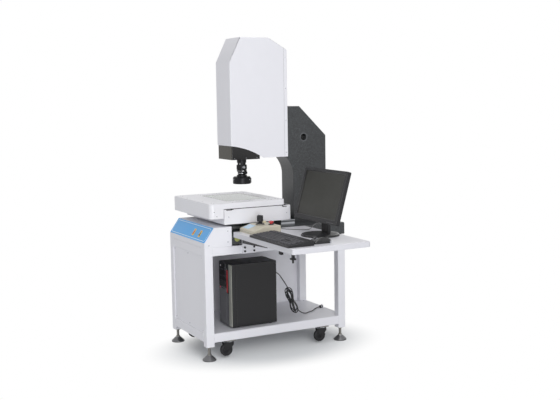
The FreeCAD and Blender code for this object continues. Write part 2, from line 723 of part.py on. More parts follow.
def on_slope(up, proud):
    """The Y and Z of a point up the sloped front and proud of it."""
    y = -HALF_D + (up * mm.cover_slope - proud * SLOPE_RISE) / SLOPE_LENGTH
    z = COVER_LOW + (up * SLOPE_RISE + proud * mm.cover_slope) / SLOPE_LENGTH
    return y, z


def front_cover():
    """A folded sheet box round the base's front end, sloped at its front."""
    piece = Piece("cover_shell")
    sheet = mm.cover_sheet
    rear = GRANITE_FRONT - 1
    top_front = -HALF_D + mm.cover_slope
    side = piece.sketch("YZ_Plane")
    outline(side, [(-HALF_D, mm.stand_top), (rear, mm.stand_top), (rear, COVER_TOP),
                   (top_front, COVER_TOP), (-HALF_D, COVER_LOW)])
    piece.pad(side, mm.cover_width, symmetric=True)
    top_z = float(COVER_TOP) - 0.01
    piece.rounded(lambda edge: edge.BoundBox.ZMin > top_z and edge.BoundBox.YLength > 1, mm.cover_corner)
    hollow = piece.sketch("YZ_Plane")
    outline(hollow, [(sheet - HALF_D, mm.stand_top), (rear, mm.stand_top), (rear, COVER_TOP - sheet),
                     (top_front + sheet, COVER_TOP - sheet), (sheet - HALF_D, COVER_LOW - sheet)])
    piece.pocket(hollow, mm.cover_width - 2 * sheet, symmetric=True)
    body = place(piece.body, 0, 0, 0)
    openings = [rocker_opening(f"cover_opening_{number}", x, -mm.rocker_half - 4)
                for number, x in enumerate((mm.power_x, mm.lamp_x))]
    node("front_cover", less("front_cover_cut", body, group("cover_openings", openings)))


def rocker_opening(name, x, low):
    """The slot that a rocker switch stands in, square to the slope."""
    length = 2 * mm.rocker_half + 3
    width = mm.rocker_width + 1
    y, z = on_slope(mm.bezel_height - length / 2, low)
    box = DOC.addObject("Part::Box", name)
    bind(box, "Length", width)
    bind(box, "Width", length)
    bind(box, "Height", 12 - low)
    turn = FreeCAD.Rotation(X_AXIS, float(slope_angle(SLOPE_RISE, mm.cover_slope)))
    return place(box, x - width / 2, y, z, turn, slope_angle(SLOPE_RISE, mm.cover_slope))


def slope_plate(name, length, width, thick, radius, x, up, proud):
    """A plate with round corners that lies on the sloped front."""
    piece = Piece(name)
    piece.pad(soft_rectangle(piece.sketch(), (-width / 2, 0), (width / 2, length), radius), thick)
    y, z = on_slope(up, proud)
    turn = FreeCAD.Rotation(X_AXIS, float(slope_angle(SLOPE_RISE, mm.cover_slope)))
    return place(piece.body, x, y, z, turn, slope_angle(SLOPE_RISE, mm.cover_slope))


def switches():
    """The blue panel, a yellow plate for each switch, and the two rockers."""
    plate = slope_plate("panel_plate", SLOPE_LENGTH - 4, mm.cover_width - 6, mm.panel_thick,
                        sized(5), 0, 2, 0)
    openings = [rocker_opening(f"panel_opening_{number}", x, -mm.rocker_half - 4)
                for number, x in enumerate((mm.power_x, mm.lamp_x))]
    node("switch_panel", less("switch_panel_cut", plate, group("panel_openings", openings)))
    bezels = []
    for number, x in enumerate((mm.power_x, mm.lamp_x)):
        bezel = slope_plate(f"bezel_{number}", mm.bezel_length, mm.bezel_width, mm.bezel_thick,
                            sized(4), x, mm.bezel_height - mm.bezel_length / 2, mm.panel_thick)
        bezels.append(less(f"bezel_{number}_cut", bezel,
                           rocker_opening(f"bezel_opening_{number}", x, -mm.rocker_half - 4)))
    node("switch_bezels", group("bezel_group", bezels))
    rocker("power_rocker", mm.power_x)
    rocker("lamp_rocker", mm.lamp_x)


def rocker(label, x):
    """A rocker tilted to one side; its lower edge is round about its pin."""
    piece = Piece(label)
    half, crown = mm.rocker_half, mm.rocker_half / 4
    radius = root(half * half + crown * crown)
    side = piece.sketch("YZ_Plane")
    outline(side, [(half, crown), (0, crown / 2), (-half, crown), (-half, 0 - crown),
                   (0 - half / 2, 0 - half * 0.8), (half / 2, 0 - half * 0.8), (half, 0 - crown)])
    piece.pad(side, mm.rocker_width, symmetric=True)
    y, z = on_slope(mm.bezel_height, mm.panel_thick + 1)
    lean = slope_angle(SLOPE_RISE, mm.cover_slope) - mm.rocker_tilt
    node(label, place(piece.body, x, y, z, FreeCAD.Rotation(X_AXIS, float(lean)), lean))


# Lower slide, along Y

def rail_bar(name, width, height, length):
    """A guide rail with a waist, as a body along its own Y."""
    piece = Piece(name)
    half = width / 2
    waist = half - 2
    piece.pad(outline(piece.sketch("XZ_Plane"), [
        (-half, 0), (half, 0), (half, height * 0.3), (waist, height * 0.45), (waist, height * 0.6),
        (half, height * 0.75), (half, height - 1), (half - 1, height), (1 - half, height),
        (-half, height - 1), (-half, height * 0.75), (-waist, height * 0.6),
        (-waist, height * 0.45), (-half, height * 0.3)]), length, backwards=True)
    return piece.body


def guide_block(name, width, length, base, height, rail_width, rail_height):
    """A runner block whose channel clears its rail, along its own Y."""
    piece = Piece(name)
    half, slot = width / 2, rail_width / 2 + mm.gap
    roof = rail_height + mm.gap
    piece.pad(outline(piece.sketch("XZ_Plane"), [
        (-half, base), (-slot, base), (-slot, roof), (slot, roof), (slot, base), (half, base),
        (half, height - 3), (half - 3, height), (3 - half, height), (-half, height - 3)]),
        length, symmetric=True)
    return piece.body


def y_guides():
    """Two rails on the base, and four runner blocks under the carriage."""
    rails, blocks = [], []
    for side in (-1, 1):
        rail = rail_bar(f"y_rail_{side + 1}", mm.y_rail_width, mm.y_rail_height, mm.y_rail_length)
        rails.append(place(rail, side * mm.y_rail_x, GRANITE_FRONT + mm.y_rail_inset, GRANITE_TOP))
        for end in (-1, 1):
            runner = guide_block(f"y_block_{side + 1}_{end + 1}", mm.y_block_width, mm.y_block_length,
                                 sized(5), mm.y_stack, mm.y_rail_width, mm.y_rail_height)
            blocks.append(place(runner, side * mm.y_rail_x,
                                end * mm.y_block_half_pitch - mm.y_block_mid, GRANITE_TOP))
    return rails, blocks


def bored_block(name, low, high, radius, axis_at, axis):
    """A block between two corners with a bore right through it along one axis."""
    blank = block(f"{name}_blank", low, [sized(high[side]) - low[side] for side in range(3)])
    turn = (ALONG_X, ALONG_Y, UPRIGHT)[axis]
    start = list(axis_at)
    start[axis] = low[axis]
    bore = rod(f"{name}_bore", radius + mm.fit, sized(high[axis]) - low[axis], start, turn)
    return less(name, blank, bore)


def y_drive():
    """Screw, end bearing, motor with its plate, and the nut on the carriage."""
    radius, x, z = mm.y_screw_radius, -mm.y_screw_x, Y_SCREW_Z
    front = GRANITE_FRONT + mm.y_rail_inset
    rear = front + mm.y_rail_length + mm.y_screw_overrun
    wide = radius + mm.bearing_rim
    node("y_screw", rod("y_screw_bar", radius, rear - front - mm.screw_end - mm.gap,
                        (x, front + mm.screw_end, z), ALONG_Y))
    half = mm.motor_size / 2
    fixed = [
        bored_block("y_bearing", (x - wide, front, GRANITE_TOP),
                    (x + wide, front + mm.bearing_thick, z + wide), radius, (x, 0, z), 1),
        bored_block("y_motor_plate", (x - half, rear - mm.bearing_thick, GRANITE_TOP),
                    (x + half, rear, z + wide), radius, (x, 0, z), 1),
        motor("y_motor", (x, rear, z), "XZ_Plane")]
    nut_front = -mm.y_nut_mid - mm.nut_length / 2
    reach = radius + mm.nut_rim
    nut = bored_block("y_nut", (x - reach, nut_front, z - reach),
                      (x + reach, nut_front + mm.nut_length, CARRIAGE_LOW), radius, (x, 0, z), 1)
    return fixed, nut


def y_slide():
    """The guideway that stays on the base, and what runs on it."""
    rails, blocks = y_guides()
    fixed, nut = y_drive()
    node("y_guideway", group("y_guideway_group", rails + fixed))
    node("y_carriage", group("y_carriage_group", [carriage_tray(), nut] + blocks))


def motor(label, spot, plane):
    """A square motor with cut corners, whose front flange is at the spot."""
    piece = Piece(label)
    half, cut = mm.motor_size / 2, mm.motor_size / 8
    piece.pad(outline(piece.sketch(plane), [
        (-half + cut, -half), (half - cut, -half), (half, cut - half), (half, half - cut),
        (half - cut, half), (cut - half, half), (-half, half - cut), (-half, cut - half)]),
        mm.motor_length, backwards=plane == "XZ_Plane")
    return place(piece.body, *spot)


def carriage_tray():
    """A shallow tray: a floor with a window for the light, walls, and the two
    strips that carry the upper rails."""
    piece = Piece("carriage_tray")
    left, right = STAGE_LEFT + 1, STAGE_RIGHT - 1
    front, rear, wall = -mm.carriage_front, mm.carriage_rear, mm.carriage_wall
    tray = piece.sketch("XY_Plane", CARRIAGE_LOW)
    rectangle(tray, (left, front), (right, rear))
    piece.pad(tray, mm.carriage_height)
    inside = piece.sketch("XY_Plane", TRAY_FLOOR)
    rectangle(inside, (left + wall, front + wall), (right - wall, rear - wall))
    piece.pocket(inside, mm.carriage_height, backwards=True)
    strips = piece.sketch("XY_Plane", TRAY_FLOOR)
    for middle in x_rail_places():
        rectangle(strips, (left + wall, middle - mm.x_block_width / 2 + 2),
                  (right - wall, middle + mm.x_block_width / 2 - 2))
    piece.pad(strips, mm.riser_height)
    window = piece.sketch("XY_Plane", CARRIAGE_LOW)
    rectangle(window, (-mm.window_half, -mm.window_front), (mm.window_half, -mm.window_rear))
    piece.pocket(window, mm.carriage_floor, backwards=True)
    piece.rounded(is_upright_outside(left, right), 4)
    return place(piece.body, 0, 0, 0)


def is_upright_outside(left, right):
    """Picks the upright edges at the two ends of a body."""
    def test(edge):
        box = edge.BoundBox
        return is_upright(edge) and (box.XMin < float(left) + 0.1 or box.XMax > float(right) - 0.1)
    return test


def x_rail_places():
    """Where the two upper rails lie, from front to rear."""
    return mm.x_rail_front - mm.carriage_front, mm.carriage_rear - mm.x_rail_rear


# Upper slide, along X

def x_guides():
    """Two rails in the tray, and four runner blocks under the stage plate."""
    rails, blocks = [], []
    left = STAGE_LEFT + 1 + mm.carriage_wall
    length = mm.stage_width - 2 - 2 * mm.carriage_wall
    rail_z = TRAY_FLOOR + mm.riser_height
    turn = FreeCAD.Rotation(Z_AXIS, -90)
    for number, y in enumerate(x_rail_places()):
        rail = rail_bar(f"x_rail_{number}", mm.x_rail_width, mm.x_rail_height, length)
        rails.append(place(rail, left, y, rail_z, turn))
        for end in (-1, 1):
            runner = guide_block(f"x_block_{number}_{end + 1}", mm.x_block_width, mm.x_block_length,
                                 sized(2), STAGE_LOW - rail_z, mm.x_rail_width, mm.x_rail_height)
            blocks.append(place(runner, end * mm.x_block_half_pitch - mm.stage_middle, y, rail_z, turn))
    return rails, blocks


def x_drive():
    """The upper slide's screw, bearings, motor and nut, all inside the tray."""
    radius, y, z = mm.x_screw_radius, mm.x_screw_y, X_SCREW_Z
    left = STAGE_LEFT + 1 + mm.carriage_wall + mm.motor_length + 1
    right = STAGE_RIGHT - 1 - mm.carriage_wall - mm.screw_end
    wide, thick = radius + mm.bearing_rim, mm.bearing_thick
    node("x_screw", rod("x_screw_bar", radius, right - left, (left, y, z), ALONG_X))
    fixed = [bored_block(f"x_bearing_{number}", (x, y - wide, TRAY_FLOOR), (x + thick, y + wide, z + wide),
                         radius, (0, y, z), 0)
             for number, x in enumerate((left, right - thick))]
    fixed.append(motor("x_motor", (left - mm.motor_length, y, z), "YZ_Plane"))
    start, reach = -mm.stage_middle - mm.nut_length / 2, radius + mm.nut_rim
    nut = bored_block("x_nut", (start, y - reach, z - reach), (start + mm.nut_length, y + reach, STAGE_LOW),
                      radius, (0, y, z), 0)
    return fixed, nut


def x_slide():
    """The guideway in the tray, and the plate that runs on it."""
    rails, blocks = x_guides()
    fixed, nut = x_drive()
    node("x_guideway", group("x_guideway_group", rails + fixed))
    node("stage_plate", group("stage_plate_group", [stage_top(), nut] + blocks))
    rim_x, rim_y = mm.glass_x / 2 + mm.glass_rim, mm.glass_y / 2 + mm.glass_rim
    glass = block("glass_sheet", (-mm.stage_middle - rim_x + mm.gap, -mm.glass_middle - rim_y + mm.gap,
                                  STAGE_TOP - mm.glass_thick),
                  (2 * rim_x - 2 * mm.gap, 2 * rim_y - 2 * mm.gap, mm.glass_thick))
    node("stage_glass", glass)


def stage_top():
    """The moving plate with its front apron, glass seat and round corners."""
    piece = Piece("stage_top")
    half = mm.stage_width / 2
    front, rear = -mm.stage_front, mm.stage_rear
    top = piece.sketch("XY_Plane", STAGE_LOW)
    soft_rectangle(top, (-half, front), (half, rear), mm.stage_corner)
    piece.pad(top, mm.stage_thick)
    apron_rear = -mm.carriage_front - mm.apron_gap
    radius = mm.stage_corner
    apron = piece.sketch("XY_Plane", STAGE_LOW)
    outline(apron, [(-half, apron_rear), (-half, front + radius, radius), (radius - half, front),
                    (half - radius, front, radius), (half, front + radius), (half, apron_rear)])
    piece.pad(apron, mm.apron_drop, backwards=True)
    middle = -mm.glass_middle
    hole = piece.sketch("XY_Plane", STAGE_LOW)
    rectangle(hole, (-mm.glass_x / 2, middle - mm.glass_y / 2), (mm.glass_x / 2, middle + mm.glass_y / 2))
    piece.pocket(hole, mm.stage_thick, backwards=True)
    seat = piece.sketch("XY_Plane", STAGE_TOP)
    rim_x, rim_y = mm.glass_x / 2 + mm.glass_rim, mm.glass_y / 2 + mm.glass_rim
    rectangle(seat, (-rim_x, middle - rim_y), (rim_x, middle + rim_y))
    piece.pocket(seat, mm.glass_thick)
    return place(piece.body, -mm.stage_middle, 0, 0)


def backlight():
    """The lamp under the glass, fixed to the base below the lens."""
    r, tall = mm.lamp_radius, mm.lamp_height
    body = turned_piece("backlight", [
        (0, 0), (r, 0), (r, tall - 6), (r - 6, tall), (r - 14, tall), (r - 14, tall - 4), (0, tall - 4)])
    node("backlight", place(body, 0, -mm.lens_y, GRANITE_TOP))


# Head: upright slide, lens and covers

PLATE_FRONT = COLUMN_FACE - mm.z_plate_thick
CARRIAGE_BACK = PLATE_FRONT - mm.z_stack


def z_guides():
    """The fixed plate on the column, its rails, and the runner blocks."""
    half = mm.z_plate_width / 2
    plate = block("z_plate", (-half, PLATE_FRONT, Z_PLATE_LOW),
                  (mm.z_plate_width, mm.z_plate_thick, Z_PLATE_TOP - Z_PLATE_LOW))
    rails, blocks = [], []
    turn = FreeCAD.Rotation(X_AXIS, 90)
    low, high = Z_PLATE_LOW + mm.z_rail_low, Z_PLATE_TOP - mm.z_rail_high
    for side in (-1, 1):
        rail = rail_bar(f"z_rail_{side + 1}", mm.z_rail_width, mm.z_rail_height, high - low)
        rails.append(place(rail, side * mm.z_rail_x, PLATE_FRONT, low, turn))
        for number, z in enumerate((Z_BLOCK_LOW, Z_BLOCK_HIGH)):
            runner = guide_block(f"z_block_{side + 1}_{number}", mm.z_block_width, mm.z_block_length,
                                 sized(3), mm.z_stack, mm.z_rail_width, mm.z_rail_height)
            blocks.append(place(runner, side * mm.z_rail_x, PLATE_FRONT, z, turn))
    return [plate] + rails, blocks


def z_drive():
    """Screw, its two bearings, the motor on top, and the nut."""
    radius, thick = mm.z_screw_radius, mm.bearing_thick
    y = PLATE_FRONT - mm.z_stack / 2
    low, high = Z_PLATE_LOW, Z_PLATE_TOP
    node("z_screw", rod("z_screw_bar", radius, high - low - mm.screw_end - mm.gap,
                        (0, y, low + mm.screw_end)))
    half = radius + 6
    fixed = [bored_block(f"z_bearing_{number}", (-half, y - half, z), (half, PLATE_FRONT, z + thick),
                         radius, (0, y, 0), 2)
             for number, z in enumerate((low, high - thick))]
    fixed.append(motor("z_motor", (0, y, high), "XY_Plane"))
    reach = radius + mm.nut_rim
    middle = (Z_BLOCK_LOW + Z_BLOCK_HIGH) / 2
    nut = bored_block("z_nut", (-reach, CARRIAGE_BACK, middle - mm.nut_length / 2),
                      (reach, y + reach, middle + mm.nut_length / 2), radius, (0, y, 0), 2)
    return fixed, nut


def z_slide():
    """The guideway on the column, and what rides on it."""
    fixed, blocks = z_guides()
    ends, nut = z_drive()
    node("z_guideway", group("z_guideway_group", fixed + ends))
    node("z_carriage", group("z_carriage_group", [lens_bracket(), nut] + blocks))


def lens_bracket():
    """The upright plate on the runner blocks, with the bracket and its ribs
    that reach forward to the lens."""
    piece = Piece("lens_bracket")
    front = CARRIAGE_BACK - mm.carriage_plate
    low, high = Z_BLOCK_LOW - mm.z_block_length / 2, Z_BLOCK_HIGH + mm.z_block_length / 2
    plate = piece.sketch("YZ_Plane")
    rectangle(plate, (front, low), (CARRIAGE_BACK, high))
    piece.pad(plate, mm.z_plate_width, symmetric=True)
    reach = NOSE_HALF - mm.gap
    shoulder = -mm.nose_rear - 25
    tip = -mm.lens_y - mm.lens_radius - 22
    shelf = piece.sketch("XY_Plane", BRACKET_Z)
    outline(shelf, [(-mm.z_plate_width / 2, front), (-reach, shoulder), (-reach, tip),
                    (reach, tip), (reach, shoulder), (mm.z_plate_width / 2, front)])
    piece.pad(shelf, mm.bracket_thick)
    for side in (-1, 1):
        rib = piece.sketch("YZ_Plane", side * mm.z_plate_width / 2 - (mm.rib_thick if side > 0 else 0))
        outline(rib, [(front, BRACKET_Z + mm.bracket_thick), (front, high - 20),
                      (-mm.lens_y + 30, BRACKET_Z + mm.bracket_thick)])
        piece.pad(rib, mm.rib_thick)
    bore = piece.sketch("XY_Plane", BRACKET_Z)
    circle(bore, 0, -mm.lens_y, mm.lens_radius + mm.fit)
    piece.pocket(bore, mm.bracket_thick, backwards=True)
    return place(piece.body, 0, 0, 0)


def lens_and_camera():
    r = mm.lens_radius
    height = mm.lens_height
    body = turned_piece("zoom_lens", [
        (0, 6), (r - 8, 6), (r - 5, 0), (r - 2, 0), (r - 2, 14), (r, 16),
        (r, height - 70), (r - 5, height - 62), (r - 5, height - 30), (r - 9, height - 24),
        (r - 9, height), (0, height)])
    node("zoom_lens", place(body, 0, -mm.lens_y, LENS_LOW))
    ring = turned_piece("zoom_ring", [
        (r + mm.fit, 0), (mm.zoom_radius - 1, 0), (mm.zoom_radius, 1),
        (mm.zoom_radius, mm.zoom_height - 1), (mm.zoom_radius - 1, mm.zoom_height),
        (r + mm.fit, mm.zoom_height)])
    node("zoom_ring", place(ring, 0, -mm.lens_y, LENS_LOW + mm.zoom_rise))
    inner = r - 2 + mm.fit
    tall = LENS_LOW - RING_LOW
    light = turned_piece("ring_light", [
        (inner, 16), (mm.ring_radius - 12, 3), (mm.ring_radius - 9, 0), (mm.ring_radius - 2, 0),
        (mm.ring_radius, 2), (mm.ring_radius, tall - 8), (mm.ring_radius - 5, tall),
        (r + 6, tall), (r + 6, tall + 10), (inner, tall + 10)])
    node("ring_light", place(light, 0, -mm.lens_y, RING_LOW))
    half = mm.camera_size / 2
    piece = Piece("camera")
    piece.pad(soft_rectangle(piece.sketch(), (-half, -half), (half, half), sized(3)), mm.camera_height)
    node("camera", place(piece.body, 0, -mm.lens_y, LENS_LOW + height))


def nose_cover():
    """The dark box round the lens that rides up and down with it."""
    piece = Piece("nose_cover")
    half = NOSE_HALF
    sheet = mm.head_sheet
    front, rear = -mm.head_front + mm.head_sheet + mm.nose_gap, -mm.nose_rear
    tall = mm.nose_height
    piece.pad(rectangle(piece.sketch(), (-half - sheet, front), (half + sheet, rear)), tall)
    piece.rounded(is_upright, 5)
    inside = piece.sketch("XY_Plane", sheet)
    rectangle(inside, (-half, front + sheet), (half, rear - sheet))
    piece.pocket(inside, tall, backwards=True)
    lens_hole = piece.sketch("XY_Plane", 0)
    circle(lens_hole, 0, -mm.lens_y, mm.lens_radius + 6)
    piece.pocket(lens_hole, sheet, backwards=True)
    bracket_slot = piece.sketch("XZ_Plane", mm.nose_rear + 2 * sheet)
    rectangle(bracket_slot, (-half, BRACKET_Z - NOSE_LOW - mm.gap), (half, tall + 1))
    piece.pocket(bracket_slot, 3 * sheet)
    node("nose_cover", place(piece.body, 0, 0, NOSE_LOW))


def head_cover():
    """The white sheet cover, open below and round the fixed plate behind."""
    piece = Piece("head_cover")
    sheet = mm.head_sheet
    front, rear = -mm.head_front, COLUMN_FACE
    back_top = HEAD_TOP - mm.head_rear_drop
    notch = HEAD_LOW + mm.head_notch_rise
    side = piece.sketch("YZ_Plane")
    outline(side, [
        (front, notch, -mm.notch_radius), (-mm.notch_rear, HEAD_LOW + mm.notch_lift), (0, HEAD_LOW),
        (rear, HEAD_LOW), (rear, back_top), (mm.head_top_rear, HEAD_TOP),
        (-mm.head_top_front, HEAD_TOP), (front, HEAD_SHOULDER)])
    piece.pad(side, mm.head_width, symmetric=True)
    shoulder = float(HEAD_SHOULDER) - 1
    piece.rounded(lambda edge: edge.BoundBox.ZMax > float(notch) + 1 and edge.BoundBox.XLength < 1
                  and (edge.BoundBox.YMin < float(front) + 0.1 or edge.BoundBox.ZMin > shoulder),
                  mm.head_corner)
    inside = piece.sketch("YZ_Plane")
    below = HEAD_LOW - 10
    outline(inside, [
        (front + sheet, below), (rear - sheet, below),
        (rear - sheet, back_top - sheet), (mm.head_top_rear, HEAD_TOP - sheet),
        (-mm.head_top_front, HEAD_TOP - sheet), (front + sheet, HEAD_SHOULDER)])
    piece.pocket(inside, mm.head_width - 2 * sheet, symmetric=True)
    slot = piece.sketch("XZ_Plane", 0)
    half = mm.z_plate_width / 2 + 2
    rectangle(slot, (-half, HEAD_LOW - 5), (half, Z_PLATE_TOP + 2))
    piece.pocket(slot, rear + 5)
    node("head_cover", place(piece.body, 0, 0, 0))


# Side table

def side_table():
    piece = Piece("table_board")
    low = (TABLE_LEFT, -mm.table_front)
    high = (TABLE_LEFT + mm.table_length, TABLE_REAR)
    face = piece.sketch("XY_Plane", TABLE_TOP - mm.table_thick)
    soft_rectangle(face, low, high, mm.table_corner)
    piece.pad(face, mm.table_thick)
    piece.rounded(lambda edge: edge.BoundBox.ZLength < 0.01, 2)
    hole = piece.sketch("XY_Plane", TABLE_TOP)
    circle(hole, GROMMET_X, GROMMET_Y, mm.grommet_radius)
    piece.pocket(hole)
    board = place(piece.body, 0, 0, 0)
    lip = mm.grommet_radius - mm.gap
    ring = turned_piece("table_grommet", [
        (0, -4), (lip, -4), (lip, 0), (lip + 4, 0), (lip + 3, 3), (0, 3)])
    grommet = place(ring, GROMMET_X, GROMMET_Y, TABLE_TOP)
    node("side_table", group("side_table_group", [board, grommet]))


def table_arms():
    """Two cantilever arms welded to plates that are screwed to the stand."""
    arms, screws = [], []
    top = TABLE_TOP - mm.table_thick
    plate_low = mm.stand_top - mm.tube
    for number, y in enumerate((mm.arm_front - mm.table_front, TABLE_REAR - mm.arm_rear)):
        plate = block(f"arm_plate_{number}", (HALF_W, y - mm.arm_plate_width / 2, plate_low),
                      (mm.arm_plate, mm.arm_plate_width, top - plate_low))
        arm = block(f"arm_bar_{number}", (HALF_W + mm.arm_plate, y - mm.arm_width / 2, top - mm.arm_height),
                    (mm.arm_length, mm.arm_width, mm.arm_height))
        arms.append(joined(f"arm_{number}", [plate, arm]))
        for side in (-1, 1):
            for height in (14, 36):
                screws.append(rod(f"arm_screw_{number}_{side + 1}_{height}", mm.arm_screw, mm.arm_screw,
                                  (HALF_W + mm.arm_plate, y + side * 30, plate_low + height), ALONG_X))
    node("table_arms", group("arm_group", arms + screws))


# Joystick box

STICK_X, STICK_Y = JOY_LEFT + mm.stick_across, JOY_FRONT + mm.stick_up
STOP_X, STOP_Y = JOY_LEFT + mm.stop_across, JOY_FRONT + mm.stop_up
DIAL_X, DIAL_Y = JOY_LEFT + mm.dial_across, JOY_FRONT + mm.dial_up


def joystick_box():
    """A moulded box whose front slopes down, with seats for its controls."""
    piece = Piece("joystick_case")
    rear = JOY_FRONT + mm.joy_depth
    side = piece.sketch("YZ_Plane")
    outline(side, [
        (JOY_FRONT, TABLE_TOP), (rear, TABLE_TOP), (rear, JOY_TOP),
        (JOY_FRONT + mm.joy_slope, JOY_TOP), (JOY_FRONT, TABLE_TOP + mm.joy_nose)])
    piece.pad(side, mm.joy_width)
    piece.rounded(lambda edge: edge.BoundBox.ZMax > float(TABLE_TOP) + 1, mm.joy_corner)
    hollow = piece.sketch("XY_Plane", JOY_TOP)
    circle(hollow, mm.stick_across, STICK_Y, mm.stick_dome + 1.5)
    piece.pocket(hollow, mm.stick_well)
    for across, y, stem in ((mm.stop_across, STOP_Y, mm.stop_stem), (mm.dial_across, DIAL_Y, mm.dial_stem)):
        bore = piece.sketch("XY_Plane", JOY_TOP)
        circle(bore, across, y, stem + mm.fit)
        piece.pocket(bore, 16)
    case = place(piece.body, JOY_LEFT, 0, 0)
    drop, lip = mm.stick_drop, mm.stick_collar
    seat = [(root(mm.stick_dome * mm.stick_dome - (drop + rise) * (drop + rise)) + 0.5, sized(rise))
            for rise in (8, 4, 0)]
    collar = turned_piece("stick_collar", seat + [(lip, 0), (lip - 1, 5), (lip - 5, 8)])
    hole, rim = mm.stop_stem + mm.fit, mm.stop_radius - 1
    stop = turned_piece("stop_collar", [(hole, 0), (rim, 0), (rim, 5), (hole, 5)])
    node("joystick_box", group("joystick_box_group", [
        case, joystick_cradle(), place(collar, STICK_X, STICK_Y, JOY_TOP),
        place(stop, STOP_X, STOP_Y, JOY_TOP)]))


def joystick_cradle():
    """A round foot in the box's well, with two posts that hold the gimbal."""
    piece = Piece("joystick_cradle")
    foot = piece.sketch("XY_Plane", mm.stick_drop - mm.stick_well)
    circle(foot, 0, 0, mm.post_far)
    piece.pad(foot, 3)
    posts = piece.sketch("XY_Plane", mm.stick_drop - mm.stick_well)
    for side in (-1, 1):
        near, far = side * mm.post_near, side * mm.post_far
        rectangle(posts, (near, -4), (far, 4)) if side > 0 else rectangle(posts, (far, -4), (near, 4))
    piece.pad(posts, mm.stick_well - mm.stick_drop + 3)
    bore = piece.sketch("YZ_Plane")
    circle(bore, 0, 0, mm.gimbal_pin + mm.fit)
    piece.pocket(bore, 3 * mm.post_far, symmetric=True)
    return place(piece.body, STICK_X, STICK_Y, STICK_PIVOT)


def joystick():
    """The gimbal ring with its two pins, and the lever with its dome and knob."""
    dome, thin = mm.stick_dome, mm.stick_dome - 2
    low, neck = 7, mm.stick_neck
    knob_z = mm.stick_length
    lever = Piece("joystick_lever")
    lever.turned(outline(lever.sketch("XZ_Plane"), [
        (0, 0 - neck), (neck, 0 - neck), (neck, root(thin * thin - neck * neck), -thin),
        (root(thin * thin - low * low), low), (root(dome * dome - low * low), low, dome),
        (neck, root(dome * dome - neck * neck)), (neck, knob_z - 12), (7, knob_z - 10),
        (mm.stick_knob, knob_z - 2), (mm.stick_knob, knob_z + 4), (8, knob_z + 9), (0, knob_z + 9)]))
    cross = lever.sketch("XZ_Plane")
    circle(cross, 0, 0, mm.gimbal_pin)
    lever.pad(cross, 2 * mm.gimbal_ring, symmetric=True)
    node("joystick_lever", place(lever.body, STICK_X, STICK_Y, STICK_PIVOT))
    ring = Piece("joystick_gimbal")
    plan = ring.sketch("XY_Plane")
    circle(plan, 0, 0, mm.gimbal_ring)
    circle(plan, 0, 0, mm.gimbal_ring - 5)
    ring.pad(plan, 6, symmetric=True)
    for side in (-1, 1):
        trunnion = ring.sketch("YZ_Plane", side * (mm.gimbal_ring - 3))
        circle(trunnion, 0, 0, mm.gimbal_pin)
        ring.pad(trunnion, mm.post_far - mm.gimbal_ring + 2, backwards=side < 0)
    bore = ring.sketch("XZ_Plane")
    circle(bore, 0, 0, mm.gimbal_pin + mm.fit)
    ring.pocket(bore, 2 * mm.gimbal_ring + 4, symmetric=True)
    node("joystick_gimbal", place(ring.body, STICK_X, STICK_Y, STICK_PIVOT))


def buttons_on_box():
    """The mushroom-headed stop button and the speed dial."""
    stem, rim = mm.stop_stem, mm.stop_radius
    cap = turned_piece("stop_button", [
        (0, -4), (stem, -4), (stem, 12), (rim - 2, 12), (rim, 15), (rim - 2, 19),
        (rim / 2, mm.stop_height), (0, mm.stop_height)])
    node("stop_button", place(cap, STOP_X, STOP_Y, JOY_TOP))
    dial = turned_piece("speed_dial", [
        (0, -8), (mm.dial_stem, -8), (mm.dial_stem, mm.gap), (mm.dial_radius, mm.gap),
        (mm.dial_radius - 1, mm.dial_height), (0, mm.dial_height)])
    node("speed_dial", place(dial, DIAL_X, DIAL_Y, JOY_TOP))


# Keyboard and mouse

def keyboard():
    piece = Piece("keyboard_base")
    side = piece.sketch("YZ_Plane")
    outline(side, [(0, 0), (mm.keys_depth, 0), (mm.keys_depth, mm.keys_high), (0, mm.keys_low)])
    piece.pad(side, mm.keys_length)
    piece.rounded(is_upright, 5)
    left, front = TABLE_LEFT + mm.keys_across, -mm.table_front - mm.keys_overhang
    base = place(piece.body, left, front, TABLE_TOP)
    keys = DOC.addObject("Part::Feature", "keyboard_keys")
    keys.Shape = Part.makeCompound(key_caps())
    spot = FreeCAD.Vector(float(left - ORIGIN_X), float(front), float(TABLE_TOP + mm.keys_low))
    tilt = float(slope_angle(mm.keys_high - mm.keys_low, mm.keys_depth))
    keys.Placement = FreeCAD.Placement(spot, FreeCAD.Rotation(X_AXIS, tilt))
    node("keyboard", group("keyboard_group", [base, keys]))


def key_caps():
    """Tapered caps in six rows; each row lists its keys' widths in key pitches."""
    rows = ((1.25, 1.25, 1.25, 7, 1.25, 1.25, 1.75, 0.5, 1, 1, 1, 0.25, 2, 1),
            (2.25,) + (1,) * 10 + (2.75, 1.5, 1, 1.5, 1, 1, 1),
            (1.75,) + (1,) * 11 + (2.25, 3.5, 1, 1, 1),
            (1.5,) + (1,) * 12 + (1.5, 0.5, 1, 1, 1, 0.25, 1, 1, 1),
            (1,) * 13 + (2, 0.5, 1, 1, 1, 0.25, 1, 1, 1),
            (1, 1) + (1,) * 11 + (0.5, 1, 1, 1))
    gaps = {0: (7, 11), 1: (12, 14), 2: (13,), 3: (14, 18), 4: (14, 18), 5: (13,)}
    caps = []
    pitch, width, rise = float(mm.key_pitch), float(mm.key_size), float(mm.key_rise)
    for row, widths in enumerate(rows):
        x = float(mm.key_margin)
        y = float(mm.key_border) + row * pitch + (float(mm.function_gap) if row == 5 else 0)
        for number, units in enumerate(widths):
            if number not in gaps[row]:
                caps.append(key_cap(x, y, units * pitch - pitch + width, width, rise))
            x += units * pitch
    return caps


